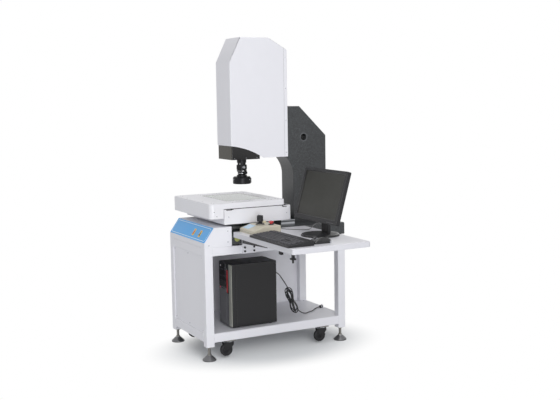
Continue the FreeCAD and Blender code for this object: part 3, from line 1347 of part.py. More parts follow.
def key_cap(x, y, long, wide, rise):
    """One cap, a little smaller at its top."""
    low = Part.makePolygon([FreeCAD.Vector(x, y, 0), FreeCAD.Vector(x + long, y, 0),
                            FreeCAD.Vector(x + long, y + wide, 0), FreeCAD.Vector(x, y + wide, 0),
                            FreeCAD.Vector(x, y, 0)])
    lean = float(mm.key_taper)
    high = Part.makePolygon([FreeCAD.Vector(x + lean, y + lean, rise),
                             FreeCAD.Vector(x + long - lean, y + lean, rise),
                             FreeCAD.Vector(x + long - lean, y + wide - lean, rise),
                             FreeCAD.Vector(x + lean, y + wide - lean, rise),
                             FreeCAD.Vector(x + lean, y + lean, rise)])
    return Part.makeLoft([low, high], True)


def mouse_hump(name):
    """The mouse's whole outer form, before its buttons are parted off."""
    piece = Piece(name)
    half, rise = mm.mouse_length / 2, mm.mouse_height - mm.mouse_edge
    radius = (half * half + rise * rise) / (2 * rise)
    side = piece.sketch("YZ_Plane")
    outline(side, [(-half, 0), (half, 0), (half, mm.mouse_edge, radius), (-half, mm.mouse_edge)])
    piece.pad(side, mm.mouse_width, symmetric=True)
    piece.rounded(is_upright, 14)
    piece.rounded(lambda edge: edge.BoundBox.ZMin > 1, 8)
    return place(piece.body, MOUSE_X, MOUSE_Y, TABLE_TOP)


def mouse():
    """The body, with two front buttons parted off by thin gaps."""
    reach = mm.mouse_length
    split = MOUSE_Y - mm.mouse_split
    cut = block("mouse_cut", (MOUSE_X - mm.mouse_width, split - reach, TABLE_TOP + mm.mouse_edge),
                (2 * mm.mouse_width, reach, mm.mouse_height))
    node("mouse_body", less("mouse_body_cut", mouse_hump("mouse_hump"), cut))
    for label, side in (("mouse_button_left", -1), ("mouse_button_right", 1)):
        corner = MOUSE_X + (0.4 if side > 0 else -0.4 - mm.mouse_width)
        keep = block(f"{label}_space", (corner, split - 0.5 - reach, TABLE_TOP + mm.mouse_edge + 1),
                     (mm.mouse_width, reach, mm.mouse_height))
        button = DOC.addObject("Part::Common", f"{label}_common")
        button.Base, button.Tool = mouse_hump(f"{label}_hump"), keep
        node(label, button)


# Monitor

def monitor_frame_point(up, back):
    """The Y and Z of a point up the screen's face from its middle and behind it."""
    angle = math.radians(mm.monitor_tilt.number)
    lean_sin = Size(math.sin(angle), f"sin({mm.monitor_tilt.text})")
    lean_cos = Size(math.cos(angle), f"cos({mm.monitor_tilt.text})")
    return (mm.monitor_setback - mm.table_front + up * lean_sin + back * lean_cos,
            TABLE_TOP + mm.monitor_rise + up * lean_cos - back * lean_sin)


def monitor():
    """Housing with its rear hump, screen, hinge, stem and round base."""
    lean = FreeCAD.Rotation(X_AXIS, -mm.monitor_tilt.number)
    half_x, half_z = mm.monitor_width / 2, mm.monitor_height / 2
    piece = Piece("housing_shell")
    piece.pad(soft_rectangle(piece.sketch("XZ_Plane"), (-half_x, -half_z), (half_x, half_z), sized(8)),
              mm.monitor_rim, backwards=True)
    hump = piece.sketch("XZ_Plane", -mm.monitor_rim)
    rectangle(hump, (50 - half_x, 40 - half_z), (half_x - 50, half_z - 40))
    piece.pad(hump, mm.monitor_hump, backwards=True, taper=-30)
    glass_x, glass_z = mm.monitor_screen_x / 2, mm.monitor_screen_z / 2
    recess = piece.sketch("XZ_Plane")
    rectangle(recess, (-glass_x, mm.monitor_chin - glass_z), (glass_x, mm.monitor_chin + glass_z))
    piece.pocket(recess, 4)
    y, z = monitor_frame_point(sized(0), sized(0))
    ears = []
    housing = place(piece.body, MONITOR_X, y, z, lean)
    screen = block("screen_sheet", (0, 0, 0), (mm.monitor_screen_x - 2 * mm.gap, 2.4,
                                                 mm.monitor_screen_z - 2 * mm.gap))
    y, z = monitor_frame_point(mm.monitor_chin - glass_z + mm.gap, sized(1.6))
    place(screen, MONITOR_X - glass_x + mm.gap, y, z, lean)
    node("monitor_screen", screen)
    back = mm.monitor_rim + mm.monitor_hump
    for side in (-1, 1):
        y, z = monitor_frame_point(-mm.hinge_drop - mm.hinge_radius, back)
        ear = block(f"monitor_ear_{side + 1}", (0, 0, 0), (10, mm.hinge_depth + mm.hinge_radius - back,
                                                           2 * mm.hinge_radius))
        place(ear, MONITOR_X + side * (mm.stem_width / 2 + 6) - 5, y, z, lean)
        ears.append(ear)
    y, z = monitor_frame_point(-mm.hinge_drop, mm.hinge_depth)
    pin_length = mm.stem_width + 22
    hinge_pin = rod("monitor_pin", mm.hinge_radius / 2, pin_length, (MONITOR_X - pin_length / 2, y, z),
                    ALONG_X)
    node("monitor_housing", joined("monitor_housing_whole", [housing] + ears + [hinge_pin]))
    monitor_stand(y, z)


def monitor_stand(hinge_y, hinge_z):
    base_top = TABLE_TOP + mm.base_height
    piece = Piece("monitor_stem")
    half = mm.stem_width / 2
    thick = mm.stem_thick / 2
    low = base_top
    side = piece.sketch("YZ_Plane")
    outline(side, [(hinge_y - thick, low), (hinge_y + thick, low), (hinge_y + thick, hinge_z),
                   (hinge_y + thick / 2, hinge_z + thick), (hinge_y - thick / 2, hinge_z + thick),
                   (hinge_y - thick, hinge_z)])
    piece.pad(side, mm.stem_width, symmetric=True)
    bore = piece.sketch("YZ_Plane")
    circle(bore, hinge_y, hinge_z, mm.hinge_radius / 2 + mm.fit)
    piece.pocket(bore, mm.stem_width + 4, symmetric=True)
    stem = place(piece.body, MONITOR_X, 0, 0)
    r, tall = mm.base_radius, mm.base_height
    body = turned_piece("monitor_base", [(0, 0), (r, 0), (r, 5), (r - 4, 9), (r * 0.6, tall), (0, tall)])
    disc = place(body, MONITOR_X, mm.base_setback - mm.table_front, TABLE_TOP)
    node("monitor_stand", group("monitor_stand_group", [stem, disc]))


# Computer on the shelf

def computer():
    low = SHELF_TOP + mm.pc_foot
    front = -mm.pc_front
    piece = Piece("pc_box")
    plan = piece.sketch("XY_Plane", low)
    rectangle(plan, (0, mm.pc_bezel - mm.pc_front), (mm.pc_width, mm.pc_depth - mm.pc_front))
    piece.pad(plan, mm.pc_height)
    inside = piece.sketch("XZ_Plane", mm.pc_front - mm.pc_bezel)
    rectangle(inside, (mm.pc_sheet, low + mm.pc_sheet),
              (mm.pc_width - mm.pc_sheet, low + mm.pc_height - mm.pc_sheet))
    piece.pocket(inside, mm.pc_depth - mm.pc_bezel - mm.pc_sheet)
    case = place(piece.body, mm.pc_left, 0, 0)
    feet = []
    for side_x in (0, 1):
        for side_y in (0, 1):
            feet.append(rod(f"pc_foot_{side_x}_{side_y}", sized(12), mm.pc_foot,
                            (mm.pc_left + 25 + side_x * (mm.pc_width - 50),
                             front + 45 + side_y * (mm.pc_depth - 80), SHELF_TOP)))
    node("pc_case", group("pc_case_group", [case] + feet))
    bezel = Piece("pc_bezel")
    face = bezel.sketch("XY_Plane", low)
    rectangle(face, (0, front), (mm.pc_width, front + mm.pc_bezel - mm.gap))
    bezel.pad(face, mm.pc_height)
    bezel.rounded(lambda edge: is_upright(edge) and edge.BoundBox.YMin < float(front) + 0.1, 6)
    button_z = SHELF_TOP + mm.pc_button_z
    wall = mm.pc_bezel_wall
    behind = bezel.sketch("XZ_Plane", mm.pc_front - mm.pc_bezel + mm.gap)
    rectangle(behind, (wall, low + wall), (mm.pc_width - wall, low + mm.pc_height - wall))
    bezel.pocket(behind, mm.pc_bezel - mm.gap - wall, backwards=True)
    sleeve = bezel.sketch("XZ_Plane", -front)
    circle(sleeve, mm.pc_width / 2, button_z, mm.pc_button + mm.gap + wall)
    bezel.pad(sleeve, 12, backwards=True)
    bore = bezel.sketch("XZ_Plane", -front)
    circle(bore, mm.pc_width / 2, button_z, mm.pc_button + mm.gap)
    bezel.pocket(bore, 8)
    node("pc_front", place(bezel.body, mm.pc_left, 0, 0))
    node("pc_power_button", rod("pc_power_cap", mm.pc_button, sized(7),
                                (mm.pc_left + mm.pc_width / 2, front - 2, button_z), ALONG_Y))


# Cords

def cord_path(points):
    """Straight runs joined by arcs as large as their runs allow."""
    edges, radii = [], []
    last = points[0]
    for before, corner, after in zip(points, points[1:], points[2:]):
        back, ahead = before - corner, after - corner
        turn = math.pi - back.getAngle(ahead)
        set_back = 0.45 * min(back.Length, ahead.Length)
        radii.append(set_back / math.tan(turn / 2))
        back.normalize()
        ahead.normalize()
        start, end = corner + back * set_back, corner + ahead * set_back
        inward = (back + ahead).normalize()
        to_middle = radii[-1] / math.cos(turn / 2)
        middle = corner + inward * (to_middle - radii[-1])
        edges += [Part.LineSegment(last, start).toShape(), Part.Arc(start, middle, end).toShape()]
        last = end
    edges.append(Part.LineSegment(last, points[-1]).toShape())
    return Part.Wire(edges), radii


def cord(label, diameter, route):
    """A round cord along a route of chosen points in the machine's frame."""
    shift = FreeCAD.Vector(float(ORIGIN_X), 0, 0)
    points = [FreeCAD.Vector(*point) - shift for point in route]
    path, radii = cord_path(points)
    radius = float(diameter) / 2
    section = Part.Wire(Part.Circle(points[0], points[1] - points[0], radius).toShape())
    tube = DOC.addObject("Part::Feature", label)
    tube.Shape = path.makePipeShell([section], True, False)
    expected = math.pi * radius ** 2 * path.Length
    print(label, "length", round(path.Length), "radii", [round(value) for value in radii])
    if abs(tube.Shape.Volume - expected) > 0.01 * expected:
        raise ValueError(f"{label} isn't a sound tube")
    node(label, tube)


def cords():
    """The joystick's lead on the table, and the computer's lead with its tied
    hank and the stretch that runs on to the gland at the shelf's rear edge."""
    flat = TABLE_TOP.number + mm.joy_lead.number / 2 + mm.gap.number
    box_rear = JOY_FRONT.number + mm.joy_depth.number
    ring_x, ring_y = GROMMET_X.number, GROMMET_Y.number
    cord("joystick_lead", mm.joy_lead, [
        (302, box_rear + 0.2, 769), (302, -50, 767), (305, -23, 757), (322, -3, 749),
        (348, 6, flat), (372, 18, flat), (396, 38, flat), (420, 62, flat), (441, 86, flat),
        (462, 103, flat), (485.5, 114.2, 766), (506.2, 124.2, 789), (534.2, 137.6, 795),
        (ring_x, ring_y, 776), (ring_x, ring_y, TABLE_TOP.number + 3.2)])
    pc_rear = mm.pc_depth.number - mm.pc_front.number
    shelf = SHELF_TOP.number + mm.pc_lead.number / 2 + mm.gap.number
    gland_z = SHELF_TOP.number + mm.gland_radius.number + mm.gap.number
    gland_face = LUG_Y.number - mm.gland_length.number - 0.2
    cord("computer_lead", mm.pc_lead, [
        (128, pc_rear + 0.2, 452), (128, 49, 454), (130, 80, 434), (127, 104, 400),
        (128, 122, 374), (128, 135, 352)])
    cord("wall_lead", mm.pc_lead, [
        (128, 214, 186), (128, 242, 171), (118, 274, shelf), (96, 306, shelf), (82, 344, shelf),
        (52, 370, shelf), (32, 398, shelf + 1), (mm.gland_x.number, gland_face, gland_z)])
    hank = turned_piece("cable_bundle", [
        (0, 0), (16, 2), (26, 14), (27, 62), (15, 90), (15, 98), (26, 124), (29, 170),
        (22, 192), (8, 200), (0, 200)])
    turn = FreeCAD.Rotation(X_AXIS, mm.hank_lean.number)
    node("cable_hank", place(hank, mm.hank_x, mm.hank_y, SHELF_TOP + mm.hank_lift, turn))


def build():
    stand_legs()
    stand_rails()
    stand_panels()
    feet_and_casters()
    granite_base()
    transport_plugs()
    granite_column()
    front_cover()
    switches()
    y_slide()
    x_slide()
    backlight()
    z_slide()
    lens_and_camera()
    nose_cover()
    head_cover()
    side_table()
    table_arms()
    joystick_box()
    joystick()
    buttons_on_box()
    keyboard()
    mouse()
    monitor()
    computer()
    cords()


def check_objects():
    """Stops where an object failed or a node's shape is missing or broken."""
    for thing in DOC.Objects:
        if "Invalid" in thing.State or "Error" in thing.State:
            raise ValueError(f"{thing.Label} failed: {thing.State}")
    for thing in NODES:
        if thing.Shape.isNull() or not thing.Shape.isValid() or not thing.Shape.Solids:
            raise ValueError(f"{thing.Label} has no sound shape")


def export():
    os.makedirs("parts", exist_ok=True)
    for thing in NODES:
        thing.Shape.exportStep(f"parts/{thing.Label}.step")
    print(len(NODES), "nodes")


build()
DOC.recompute()
check_objects()
export()
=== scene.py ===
import json
import math

import bmesh
import bpy
from mathutils import Matrix, Vector

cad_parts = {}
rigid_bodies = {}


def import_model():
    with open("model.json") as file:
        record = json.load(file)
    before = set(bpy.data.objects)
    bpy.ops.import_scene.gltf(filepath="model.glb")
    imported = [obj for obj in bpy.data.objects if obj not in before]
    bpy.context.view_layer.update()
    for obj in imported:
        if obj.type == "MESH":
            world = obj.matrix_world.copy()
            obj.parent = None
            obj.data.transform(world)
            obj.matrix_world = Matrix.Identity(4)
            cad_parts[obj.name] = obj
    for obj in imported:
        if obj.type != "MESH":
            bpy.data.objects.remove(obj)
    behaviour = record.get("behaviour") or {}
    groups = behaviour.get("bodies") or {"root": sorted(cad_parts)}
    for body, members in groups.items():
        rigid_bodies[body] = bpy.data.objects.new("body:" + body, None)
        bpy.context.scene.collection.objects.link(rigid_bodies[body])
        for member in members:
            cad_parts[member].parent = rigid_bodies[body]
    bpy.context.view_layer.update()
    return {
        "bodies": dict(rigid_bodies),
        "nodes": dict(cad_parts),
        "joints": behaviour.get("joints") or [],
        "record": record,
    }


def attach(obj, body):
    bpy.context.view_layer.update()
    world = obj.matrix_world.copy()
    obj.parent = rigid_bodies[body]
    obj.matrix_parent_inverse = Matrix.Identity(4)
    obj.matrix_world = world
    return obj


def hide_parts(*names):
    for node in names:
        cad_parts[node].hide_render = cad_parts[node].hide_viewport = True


bl_info = {
    "name": "Vision measuring machine",
    "version": (1, 0, 0),
    "blender": (4, 5, 0),
    "location": "View3D > Sidebar > Measuring machine",
    "description": "Dresses the measuring machine's packed frame with its finished pieces",
    "category": "Object",
}

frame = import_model()
NODES = frame["nodes"]

# The machine's own middle plane lies this far from the object's origin, in metres
MACHINE_X = -0.3495
CORNERS = [(end, side, side_x, side_y) for end, side_y in (("front", -1), ("rear", 1))
           for side, side_x in (("left", -1), ("right", 1))]


def leaning(x, y, z, degrees=0.0):
    """A frame whose zero is a point of the machine's frame in millimetres, leaning back about X."""
    return Matrix.Translation((x / 1000 + MACHINE_X, y / 1000, z / 1000)) @ Matrix.Rotation(
        math.radians(degrees), 4, "X")


MACHINE = leaning(0, 0, 0)
COVER_SLOPE = leaning(0, -470, 690, 54.212)
MONITOR_FACE = leaning(664, 65, 970, -16)
KEY_BED = leaning(505, -300, 756, 5.492)
JOY_SLOPE = leaning(286, -255, 767, 17.447)


# Colours, nodes and finishes

def linear(hex_colour):
    """A hex sRGB colour as linear RGBA."""
    channels = [int(hex_colour[place:place + 2], 16) / 255 for place in (1, 3, 5)]
    return [value / 12.92 if value <= 0.04045 else ((value + 0.055) / 1.055) ** 2.4
            for value in channels] + [1.0]


def add_node(tree, kind, settings=None, links=None):
    """Adds a node, sets its properties and inputs by name, and links its inputs."""
    node = tree.nodes.new(kind)
    for name, value in (settings or {}).items():
        if isinstance(name, int) or name in node.inputs:
            node.inputs[name].default_value = value
        else:
            setattr(node, name, value)
    for name, source in (links or {}).items():
        tree.links.new(source, node.inputs[name])
    return node


MATERIALS = {}


def blank_material(name):
    """A new material with an empty tree, kept in MATERIALS by its name."""
    material = MATERIALS[name] = bpy.data.materials.new(name)
    material.use_nodes = True
    material.node_tree.nodes.clear()
    return material


def noise_at(tree, size_mm, stretch=(1, 1, 1), detail=2.0):
    """Noise on the object's coordinates, with features about size_mm wide."""
    place = add_node(tree, "ShaderNodeTexCoord")
    turned = add_node(tree, "ShaderNodeMapping", {"Scale": stretch}, {"Vector": place.outputs["Object"]})
    return add_node(tree, "ShaderNodeTexNoise", {"Scale": 1000 / size_mm, "Detail": detail},
                    {"Vector": turned.outputs["Vector"]})


def finish(name, colour, roughness, metallic=0.0, ior=1.5, coat=0.0, grain_mm=1.0, grain_height=0.0,
           mottle=0.04, mottle_mm=60, stretch=(1, 1, 1)):
    """A finish with fine grain as bump and a broad, faint change of colour and gloss."""
    tree = blank_material(name).node_tree
    broad = noise_at(tree, mottle_mm, detail=3.0)
    base = linear(colour)
    shade = add_node(tree, "ShaderNodeMix", {
        "data_type": "RGBA", 6: [value * (1 - mottle) for value in base[:3]] + [1],
        7: [min(1, value * (1 + mottle)) for value in base[:3]] + [1]}, {0: broad.outputs["Fac"]})
    gloss = add_node(tree, "ShaderNodeMapRange", {
        "From Min": 0.3, "From Max": 0.7, "To Min": roughness * 0.88, "To Max": min(1, roughness * 1.12)},
        {"Value": broad.outputs["Fac"]})
    shader = add_node(tree, "ShaderNodeBsdfPrincipled",
                      {"Metallic": metallic, "IOR": ior, "Coat Weight": coat, "Coat Roughness": 0.12},
                      {"Base Color": shade.outputs[2], "Roughness": gloss.outputs["Result"]})
    if grain_height:
        grain = noise_at(tree, grain_mm, stretch)
        bump = add_node(tree, "ShaderNodeBump", {"Strength": 1.0, "Distance": grain_height / 1000},
                        {"Height": grain.outputs["Fac"]})
        tree.links.new(bump.outputs["Normal"], shader.inputs["Normal"])
    add_node(tree, "ShaderNodeOutputMaterial", links={"Surface": shader.outputs["BSDF"]})


def black_granite():
    """Black granite, ground and lapped: dark grey with crystals about 1 mm wide,
    drawn at 3 mm so that they show."""
    tree = blank_material("black_granite").node_tree
    crystals = add_node(tree, "ShaderNodeTexVoronoi", {"Scale": 1000 / 3.0, "Randomness": 1.0},
                        {"Vector": add_node(tree, "ShaderNodeTexCoord").outputs["Object"]})
    fleck = add_node(tree, "ShaderNodeRGBToBW", links={"Color": crystals.outputs["Color"]})
    ramp = add_node(tree, "ShaderNodeValToRGB", links={"Fac": fleck.outputs["Val"]})
    stops = ramp.color_ramp
    stops.elements[0].color = linear("#1e2022")
    stops.elements[1].position, stops.elements[1].color = 0.85, linear("#464a4d")
    middle = stops.elements.new(0.5)
    middle.color = linear("#2d2f32")
    cloud = noise_at(tree, 40, detail=4.0)
    shade = add_node(tree, "ShaderNodeMix", {"data_type": "RGBA", "blend_type": "MULTIPLY", 0: 0.5},
                     {6: ramp.outputs["Color"], 7: cloud.outputs["Fac"]})
    lift = add_node(tree, "ShaderNodeMix", {"data_type": "RGBA", 0: 0.35},
                    {6: shade.outputs[2], 7: ramp.outputs["Color"]})
    shader = add_node(tree, "ShaderNodeBsdfPrincipled", {"Roughness": 0.38, "IOR": 1.55},
                      {"Base Color": lift.outputs[2]})
    add_node(tree, "ShaderNodeOutputMaterial", links={"Surface": shader.outputs["BSDF"]})


def clear_glass():
    """Float glass with its faint green edge."""
    tree = blank_material("float_glass").node_tree
    shader = add_node(tree, "ShaderNodeBsdfPrincipled", {
        "Base Color": linear("#98a8a2"), "Roughness": 0.03, "IOR": 1.45, "Transmission Weight": 0.85})
    add_node(tree, "ShaderNodeOutputMaterial", links={"Surface": shader.outputs["BSDF"]})


def glow(name, colour, strength):
    """A small lamp's lens: its own colour, lit from inside."""
    tree = blank_material(name).node_tree
    shader = add_node(tree, "ShaderNodeBsdfPrincipled", {
        "Base Color": linear(colour), "Roughness": 0.3, "Emission Color": linear(colour),
        "Emission Strength": strength})
    add_node(tree, "ShaderNodeOutputMaterial", links={"Surface": shader.outputs["BSDF"]})


def make_materials():
    """Makes every finish of the machine."""
    # polyester powder coat on steel: satin, with a fine orange peel 2 mm wide
    finish("powder_white", "#e4e4ea", 0.42, grain_mm=2.5, grain_height=0.03, mottle=0.015)
    # the same coat on cast aluminium, a little smoother
    finish("cast_white", "#e6e6eb", 0.38, grain_mm=2.0, grain_height=0.02, mottle=0.015)
    black_granite()
    # printed polycarbonate film: even blue with a soft sheen
    finish("blue_film", "#35a2e8", 0.35, coat=0.2, mottle=0.02)
    finish("pale_line", "#c9e2f6", 0.4, mottle=0.01)
    finish("yellow_plate", "#f0bd14", 0.3, coat=0.3, mottle=0.02)
    # moulded soft PVC plug, dull and slightly uneven
    finish("olive_plug", "#a6aa62", 0.6, grain_mm=1.2, grain_height=0.04, mottle=0.08)
    finish("red_gloss", "#c3202a", 0.22, coat=0.5, mottle=0.02)
    finish("black_gloss", "#131316", 0.18, coat=0.4, mottle=0.02)
    # zinc plated and polished steel
    finish("zinc_plate", "#b9bcc2", 0.24, metallic=1.0, grain_mm=0.8, grain_height=0.01, mottle=0.06,
           mottle_mm=12)
    # ground steel: fine lines along the bar
    finish("ground_steel", "#9fa2a6", 0.32, metallic=1.0, grain_mm=1.0, grain_height=0.01, mottle=0.05,
           stretch=(1, 0.05, 1))
    finish("rubber", "#232326", 0.72, grain_mm=1.0, grain_height=0.03, mottle=0.1, mottle_mm=20)
    finish("grey_pad", "#6c6c6e", 0.34, metallic=0.8, grain_mm=1.5, grain_height=0.05, mottle=0.08,
           mottle_mm=15)
    # black anodised aluminium: dark metal, satin from fine blasting
    finish("anodised", "#1c1c1f", 0.4, metallic=0.7, grain_mm=0.6, grain_height=0.008, mottle=0.05)
    # dark brown gloss lacquer for the nose's front faces, lighter and browner than its black sides: a
    # painted reflection of the room on the front
    finish("lacquer_front_painted_reflection", "#332f24", 0.2, ior=1.33, mottle=0.03)
    finish("satin_aluminium", "#b4b6ba", 0.35, metallic=1.0, grain_mm=0.8, grain_height=0.01, mottle=0.04)
    clear_glass()
    # high-pressure laminate in pale grey, with a faint print 1 mm wide
    finish("laminate", "#dcdce2", 0.36, grain_mm=1.0, grain_height=0.01, mottle=0.02, mottle_mm=4)
    finish("edge_band", "#c9c9cf", 0.45, grain_mm=1.0, grain_height=0.02, mottle=0.02)
    # moulded ABS with a spark-eroded texture 0.7 mm wide
    finish("beige_plastic", "#c9c3b2", 0.5, grain_mm=0.9, grain_height=0.03, mottle=0.03)
    finish("cream_plastic", "#ded6bc", 0.4, grain_mm=0.9, grain_height=0.01, mottle=0.03)
    finish("black_plastic", "#17171a", 0.45, ior=1.42, grain_mm=0.9, grain_height=0.03, mottle=0.06)
    finish("grey_plastic", "#55555a", 0.42, grain_mm=0.9, grain_height=0.02, mottle=0.04)
    # silver grey lacquer on ABS, without metal in it
    finish("pc_silver", "#aeafa6", 0.4, coat=0.2, mottle=0.02)
    # grey of the computer's lower front: its own grey moulding, lightened with painted light from the floor
    # it faces in the shaded bay
    finish("pc_grey_painted_light", "#6e6e72", 0.42, grain_mm=0.9, grain_height=0.02, mottle=0.04)
    # turned steel, oiled and a little dull
    finish("stud_steel", "#8a8884", 0.36, metallic=1.0, grain_mm=0.8, grain_height=0.01, mottle=0.08,
           mottle_mm=10)
    # near black on the tray's inner faces: painted shade in the casting's hollow
    finish("hollow_painted_shade", "#2c2d2e", 0.85, grain_mm=1.0, grain_height=0.03, mottle=0.08)
    # bronze-grey bush bonded to the stone
    finish("bush_grey", "#55575a", 0.4, metallic=0.4, mottle=0.05, mottle_mm=10)
    finish("silver_paint", "#a9abb0", 0.32, metallic=0.6, mottle=0.03)
    # anti-glare film on the panel: dark olive grey and quite dull
    finish("screen_film", "#1f1f19", 0.42, ior=1.42, mottle=0.03, mottle_mm=120)
    finish("black_sheet", "#121215", 0.42, ior=1.42, grain_mm=1.6, grain_height=0.03, mottle=0.05)
    finish("grey_sheath", "#8e8f90", 0.5, grain_mm=1.0, grain_height=0.02, mottle=0.05)
    finish("black_sheath", "#151517", 0.42, grain_mm=1.0, grain_height=0.02, mottle=0.08)
    finish("frosted_ring", "#d8d8d2", 0.6, mottle=0.02)
    finish("blue_label", "#3e78b8", 0.4, mottle=0.02)
    # epoxy ink, screen printed
    finish("white_print", "#e6e6e8", 0.5, mottle=0.02)
    finish("black_print", "#1c1c1e", 0.5, mottle=0.02)
    finish("pale_film", "#bcd6ea", 0.35, mottle=0.02)
    finish("green_seal", "#2c4a3a", 0.5, grain_mm=0.8, grain_height=0.02, mottle=0.06, mottle_mm=8)
    finish("black_oxide", "#2a2a2c", 0.4, metallic=0.8, mottle=0.08, mottle_mm=5)
    finish("black_lacquer", "#151516", 0.24, ior=1.4, coat=0.2, mottle=0.03)
    # painted steel and ABS inside a joint or slot, where no light reaches
    finish("shadow_gap", "#141416", 0.8, mottle=0.05)
    finish("key_caps", "#3c3c41", 0.5, grain_mm=0.8, grain_height=0.015, mottle=0.05, mottle_mm=12)
    finish("coated_lens", "#1a1626", 0.05, ior=1.6, coat=1.0, mottle=0.05, mottle_mm=15)
    glow("power_light", "#e0506c", 0.6)
    glow("white_light", "#f4f6ff", 0.5)


# Making pieces

def spot(x, y, z):
    """A point of the machine's own frame, in millimetres, in the object's frame."""
    return Vector((x / 1000 + MACHINE_X, y / 1000, z / 1000))


def corner_normals(bm, smooth):
    """A normal for each corner that leans to the larger of the faces that meet there
    smoothly, so that a wide flat face stays flat beside its soft edge."""
    least = math.cos(math.radians(smooth))
    areas = {face: face.calc_area() for face in bm.faces}
    normals = []
    for face in bm.faces:
        for vert in face.verts:
            total = Vector()
            for other in vert.link_faces:
                if other.normal.dot(face.normal) > least:
                    total += other.normal * (areas[other] + 1e-12)
            normals.append(total.normalized())
    return normals


# Places that several pieces share: the stick's pivot, the feet of the lens and of
# its ring light, in millimetres, and a point of the lens's axis
STICK_PIVOT = (372, -165, 784)
LENS_FOOT = (0, -97, 1036)
RING_FOOT = (0, -97, 993)
LENS_AXIS = spot(0, -97, 0)


def put(name, bm, material, body="machine", node=None, smooth=35, second=None):
    """Writes a bmesh to a piece, with its finish, and sets it on its body. A second
    finish comes with a test that picks its faces."""
    mesh = bpy.data.meshes.new(name)
    bm.normal_update()
    normals = corner_normals(bm, smooth)
    if second:
        for face in bm.faces:
            face.material_index = int(second[1](face))
    bm.to_mesh(mesh)
    bm.free()
    for used in [material] + ([second[0]] if second else []):
        mesh.materials.append(MATERIALS[used])
    mesh.shade_smooth()
    mesh.set_sharp_from_angle(angle=math.radians(smooth))
    mesh.normals_split_custom_set(normals)
    piece = bpy.data.objects.new(name, mesh)
    bpy.context.scene.collection.objects.link(piece)
    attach(piece, body)
    if node:
        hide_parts(node)
    return piece


def centre_of(edge):
    return (edge.verts[0].co + edge.verts[1].co) / 2


def body_of_node(node):
    return next(body for body, members in frame["record"]["behaviour"]["bodies"].items() if node in members)


def merged(node):
    """A bmesh of a CAD node's faces, joined up and with flat faces made whole."""
    bm = bmesh.new()
    bm.from_mesh(NODES[node].data)
    bmesh.ops.remove_doubles(bm, verts=bm.verts, dist=2e-6)
    bmesh.ops.dissolve_limit(bm, angle_limit=math.radians(0.8), use_dissolve_boundaries=False,
                             verts=bm.verts, edges=bm.edges, delimit=set())
    return bm


def soften(bm, width_mm, segments=2):
    """Rounds the edges that are sharper than 30 degrees by a small width."""
    sharp = [edge for edge in bm.edges
             if edge.is_manifold and edge.calc_face_angle(0) > math.radians(30)]
    bmesh.ops.bevel(bm, geom=sharp, offset=width_mm / 1000, offset_type="OFFSET", segments=segments,
                    profile=0.5, affect="EDGES", clamp_overlap=True, material=-1)
    return bm


def dress(node, material, width_mm=0.0, smooth=35, second=None):
    """Stands a softened copy of a CAD node in its place."""
    bm = merged(node)
    if width_mm:
        soften(bm, width_mm)
    return put(f"{node}_shown", bm, material, body_of_node(node), node, smooth, second)


def block(low, high, width_mm=0.0, segments=2, bm=None, frame=MACHINE):
    """A block between two corners in millimetres of a frame, with soft edges."""
    bm = bm or bmesh.new()
    made = bmesh.ops.create_cube(bm, size=1)["verts"]
    bmesh.ops.scale(bm, verts=made, vec=[(high[axis] - low[axis]) / 1000 for axis in range(3)])
    bmesh.ops.translate(bm, verts=made, vec=[(high[axis] + low[axis]) / 2000 for axis in range(3)])
    bmesh.ops.transform(bm, matrix=frame, verts=made)
    if width_mm:
        edges = list({edge for vert in made for edge in vert.link_edges})
        bmesh.ops.bevel(bm, geom=edges, offset=width_mm / 1000, offset_type="OFFSET", segments=segments,
                        profile=0.5, affect="EDGES", clamp_overlap=True, material=-1)
    return bm


def blocks(boxes, width_mm=0.4, segments=1, bm=None, frame=MACHINE):
    """Several blocks of one piece, each given by its two corners."""
    bm = bm or bmesh.new()
    for low, high in boxes:
        block(low, high, width_mm, segments, bm, frame)
    return bm


TURNS = {"Z": Matrix.Identity(4), "-Z": Matrix.Rotation(math.pi, 4, "X"),
         "X": Matrix.Rotation(math.pi / 2, 4, "Y"), "-X": Matrix.Rotation(-math.pi / 2, 4, "Y"),
         "Y": Matrix.Rotation(-math.pi / 2, 4, "X"), "-Y": Matrix.Rotation(math.pi / 2, 4, "X")}


def lathe(outline, base, axis="Z", steps=48, bm=None, frame=MACHINE):
    """A turned form: its half outline as (radius, height) in millimetres, spun round
    an axis through the base point of a frame."""
    bm = bm or bmesh.new()
    before = set(bm.verts)
    verts = [bm.verts.new((radius / 1000, 0, height / 1000)) for radius, height in outline]
    edges = [bm.edges.new(pair) for pair in zip(verts, verts[1:])]
    bmesh.ops.spin(bm, geom=verts + edges, cent=(0, 0, 0), axis=(0, 0, 1), angle=2 * math.pi, steps=steps,
                   use_merge=True)
    bmesh.ops.remove_doubles(bm, verts=[vert for vert in bm.verts if vert not in before], dist=1e-6)
    made = [vert for vert in bm.verts if vert not in before]
    bmesh.ops.recalc_face_normals(bm, faces=list({face for vert in made for face in vert.link_faces}))
    turn = TURNS[axis] if isinstance(axis, str) else axis
    shift = Matrix.Translation([value / 1000 for value in base])
    bmesh.ops.transform(bm, matrix=frame @ shift @ turn, verts=made)
    return bm


def screws(places, axis, radius=3.2, height=2.2, bm=None, frame=MACHINE):
    """Button-head screws with their sockets, at points of a frame."""
    bm = bm or bmesh.new()
    for place in places:
        lathe([(0, height * 0.35), (radius * 0.5, height * 0.35), (radius * 0.55, height),
               (radius * 0.75, height * 0.9),
               (radius, height * 0.45), (radius, -0.2), (0, -0.2)], place, axis, 12, bm, frame)
    return bm


def bolts(places, axis, radius=5.0, height=4.0, bm=None):
    """Hexagon heads at points of a frame."""
    bm = bm or bmesh.new()
    for place in places:
        lathe([(0, height), (radius * 0.8, height), (radius, height * 0.85), (radius, -0.2), (0, -0.2)],
              place, axis, 6, bm)
    return bm


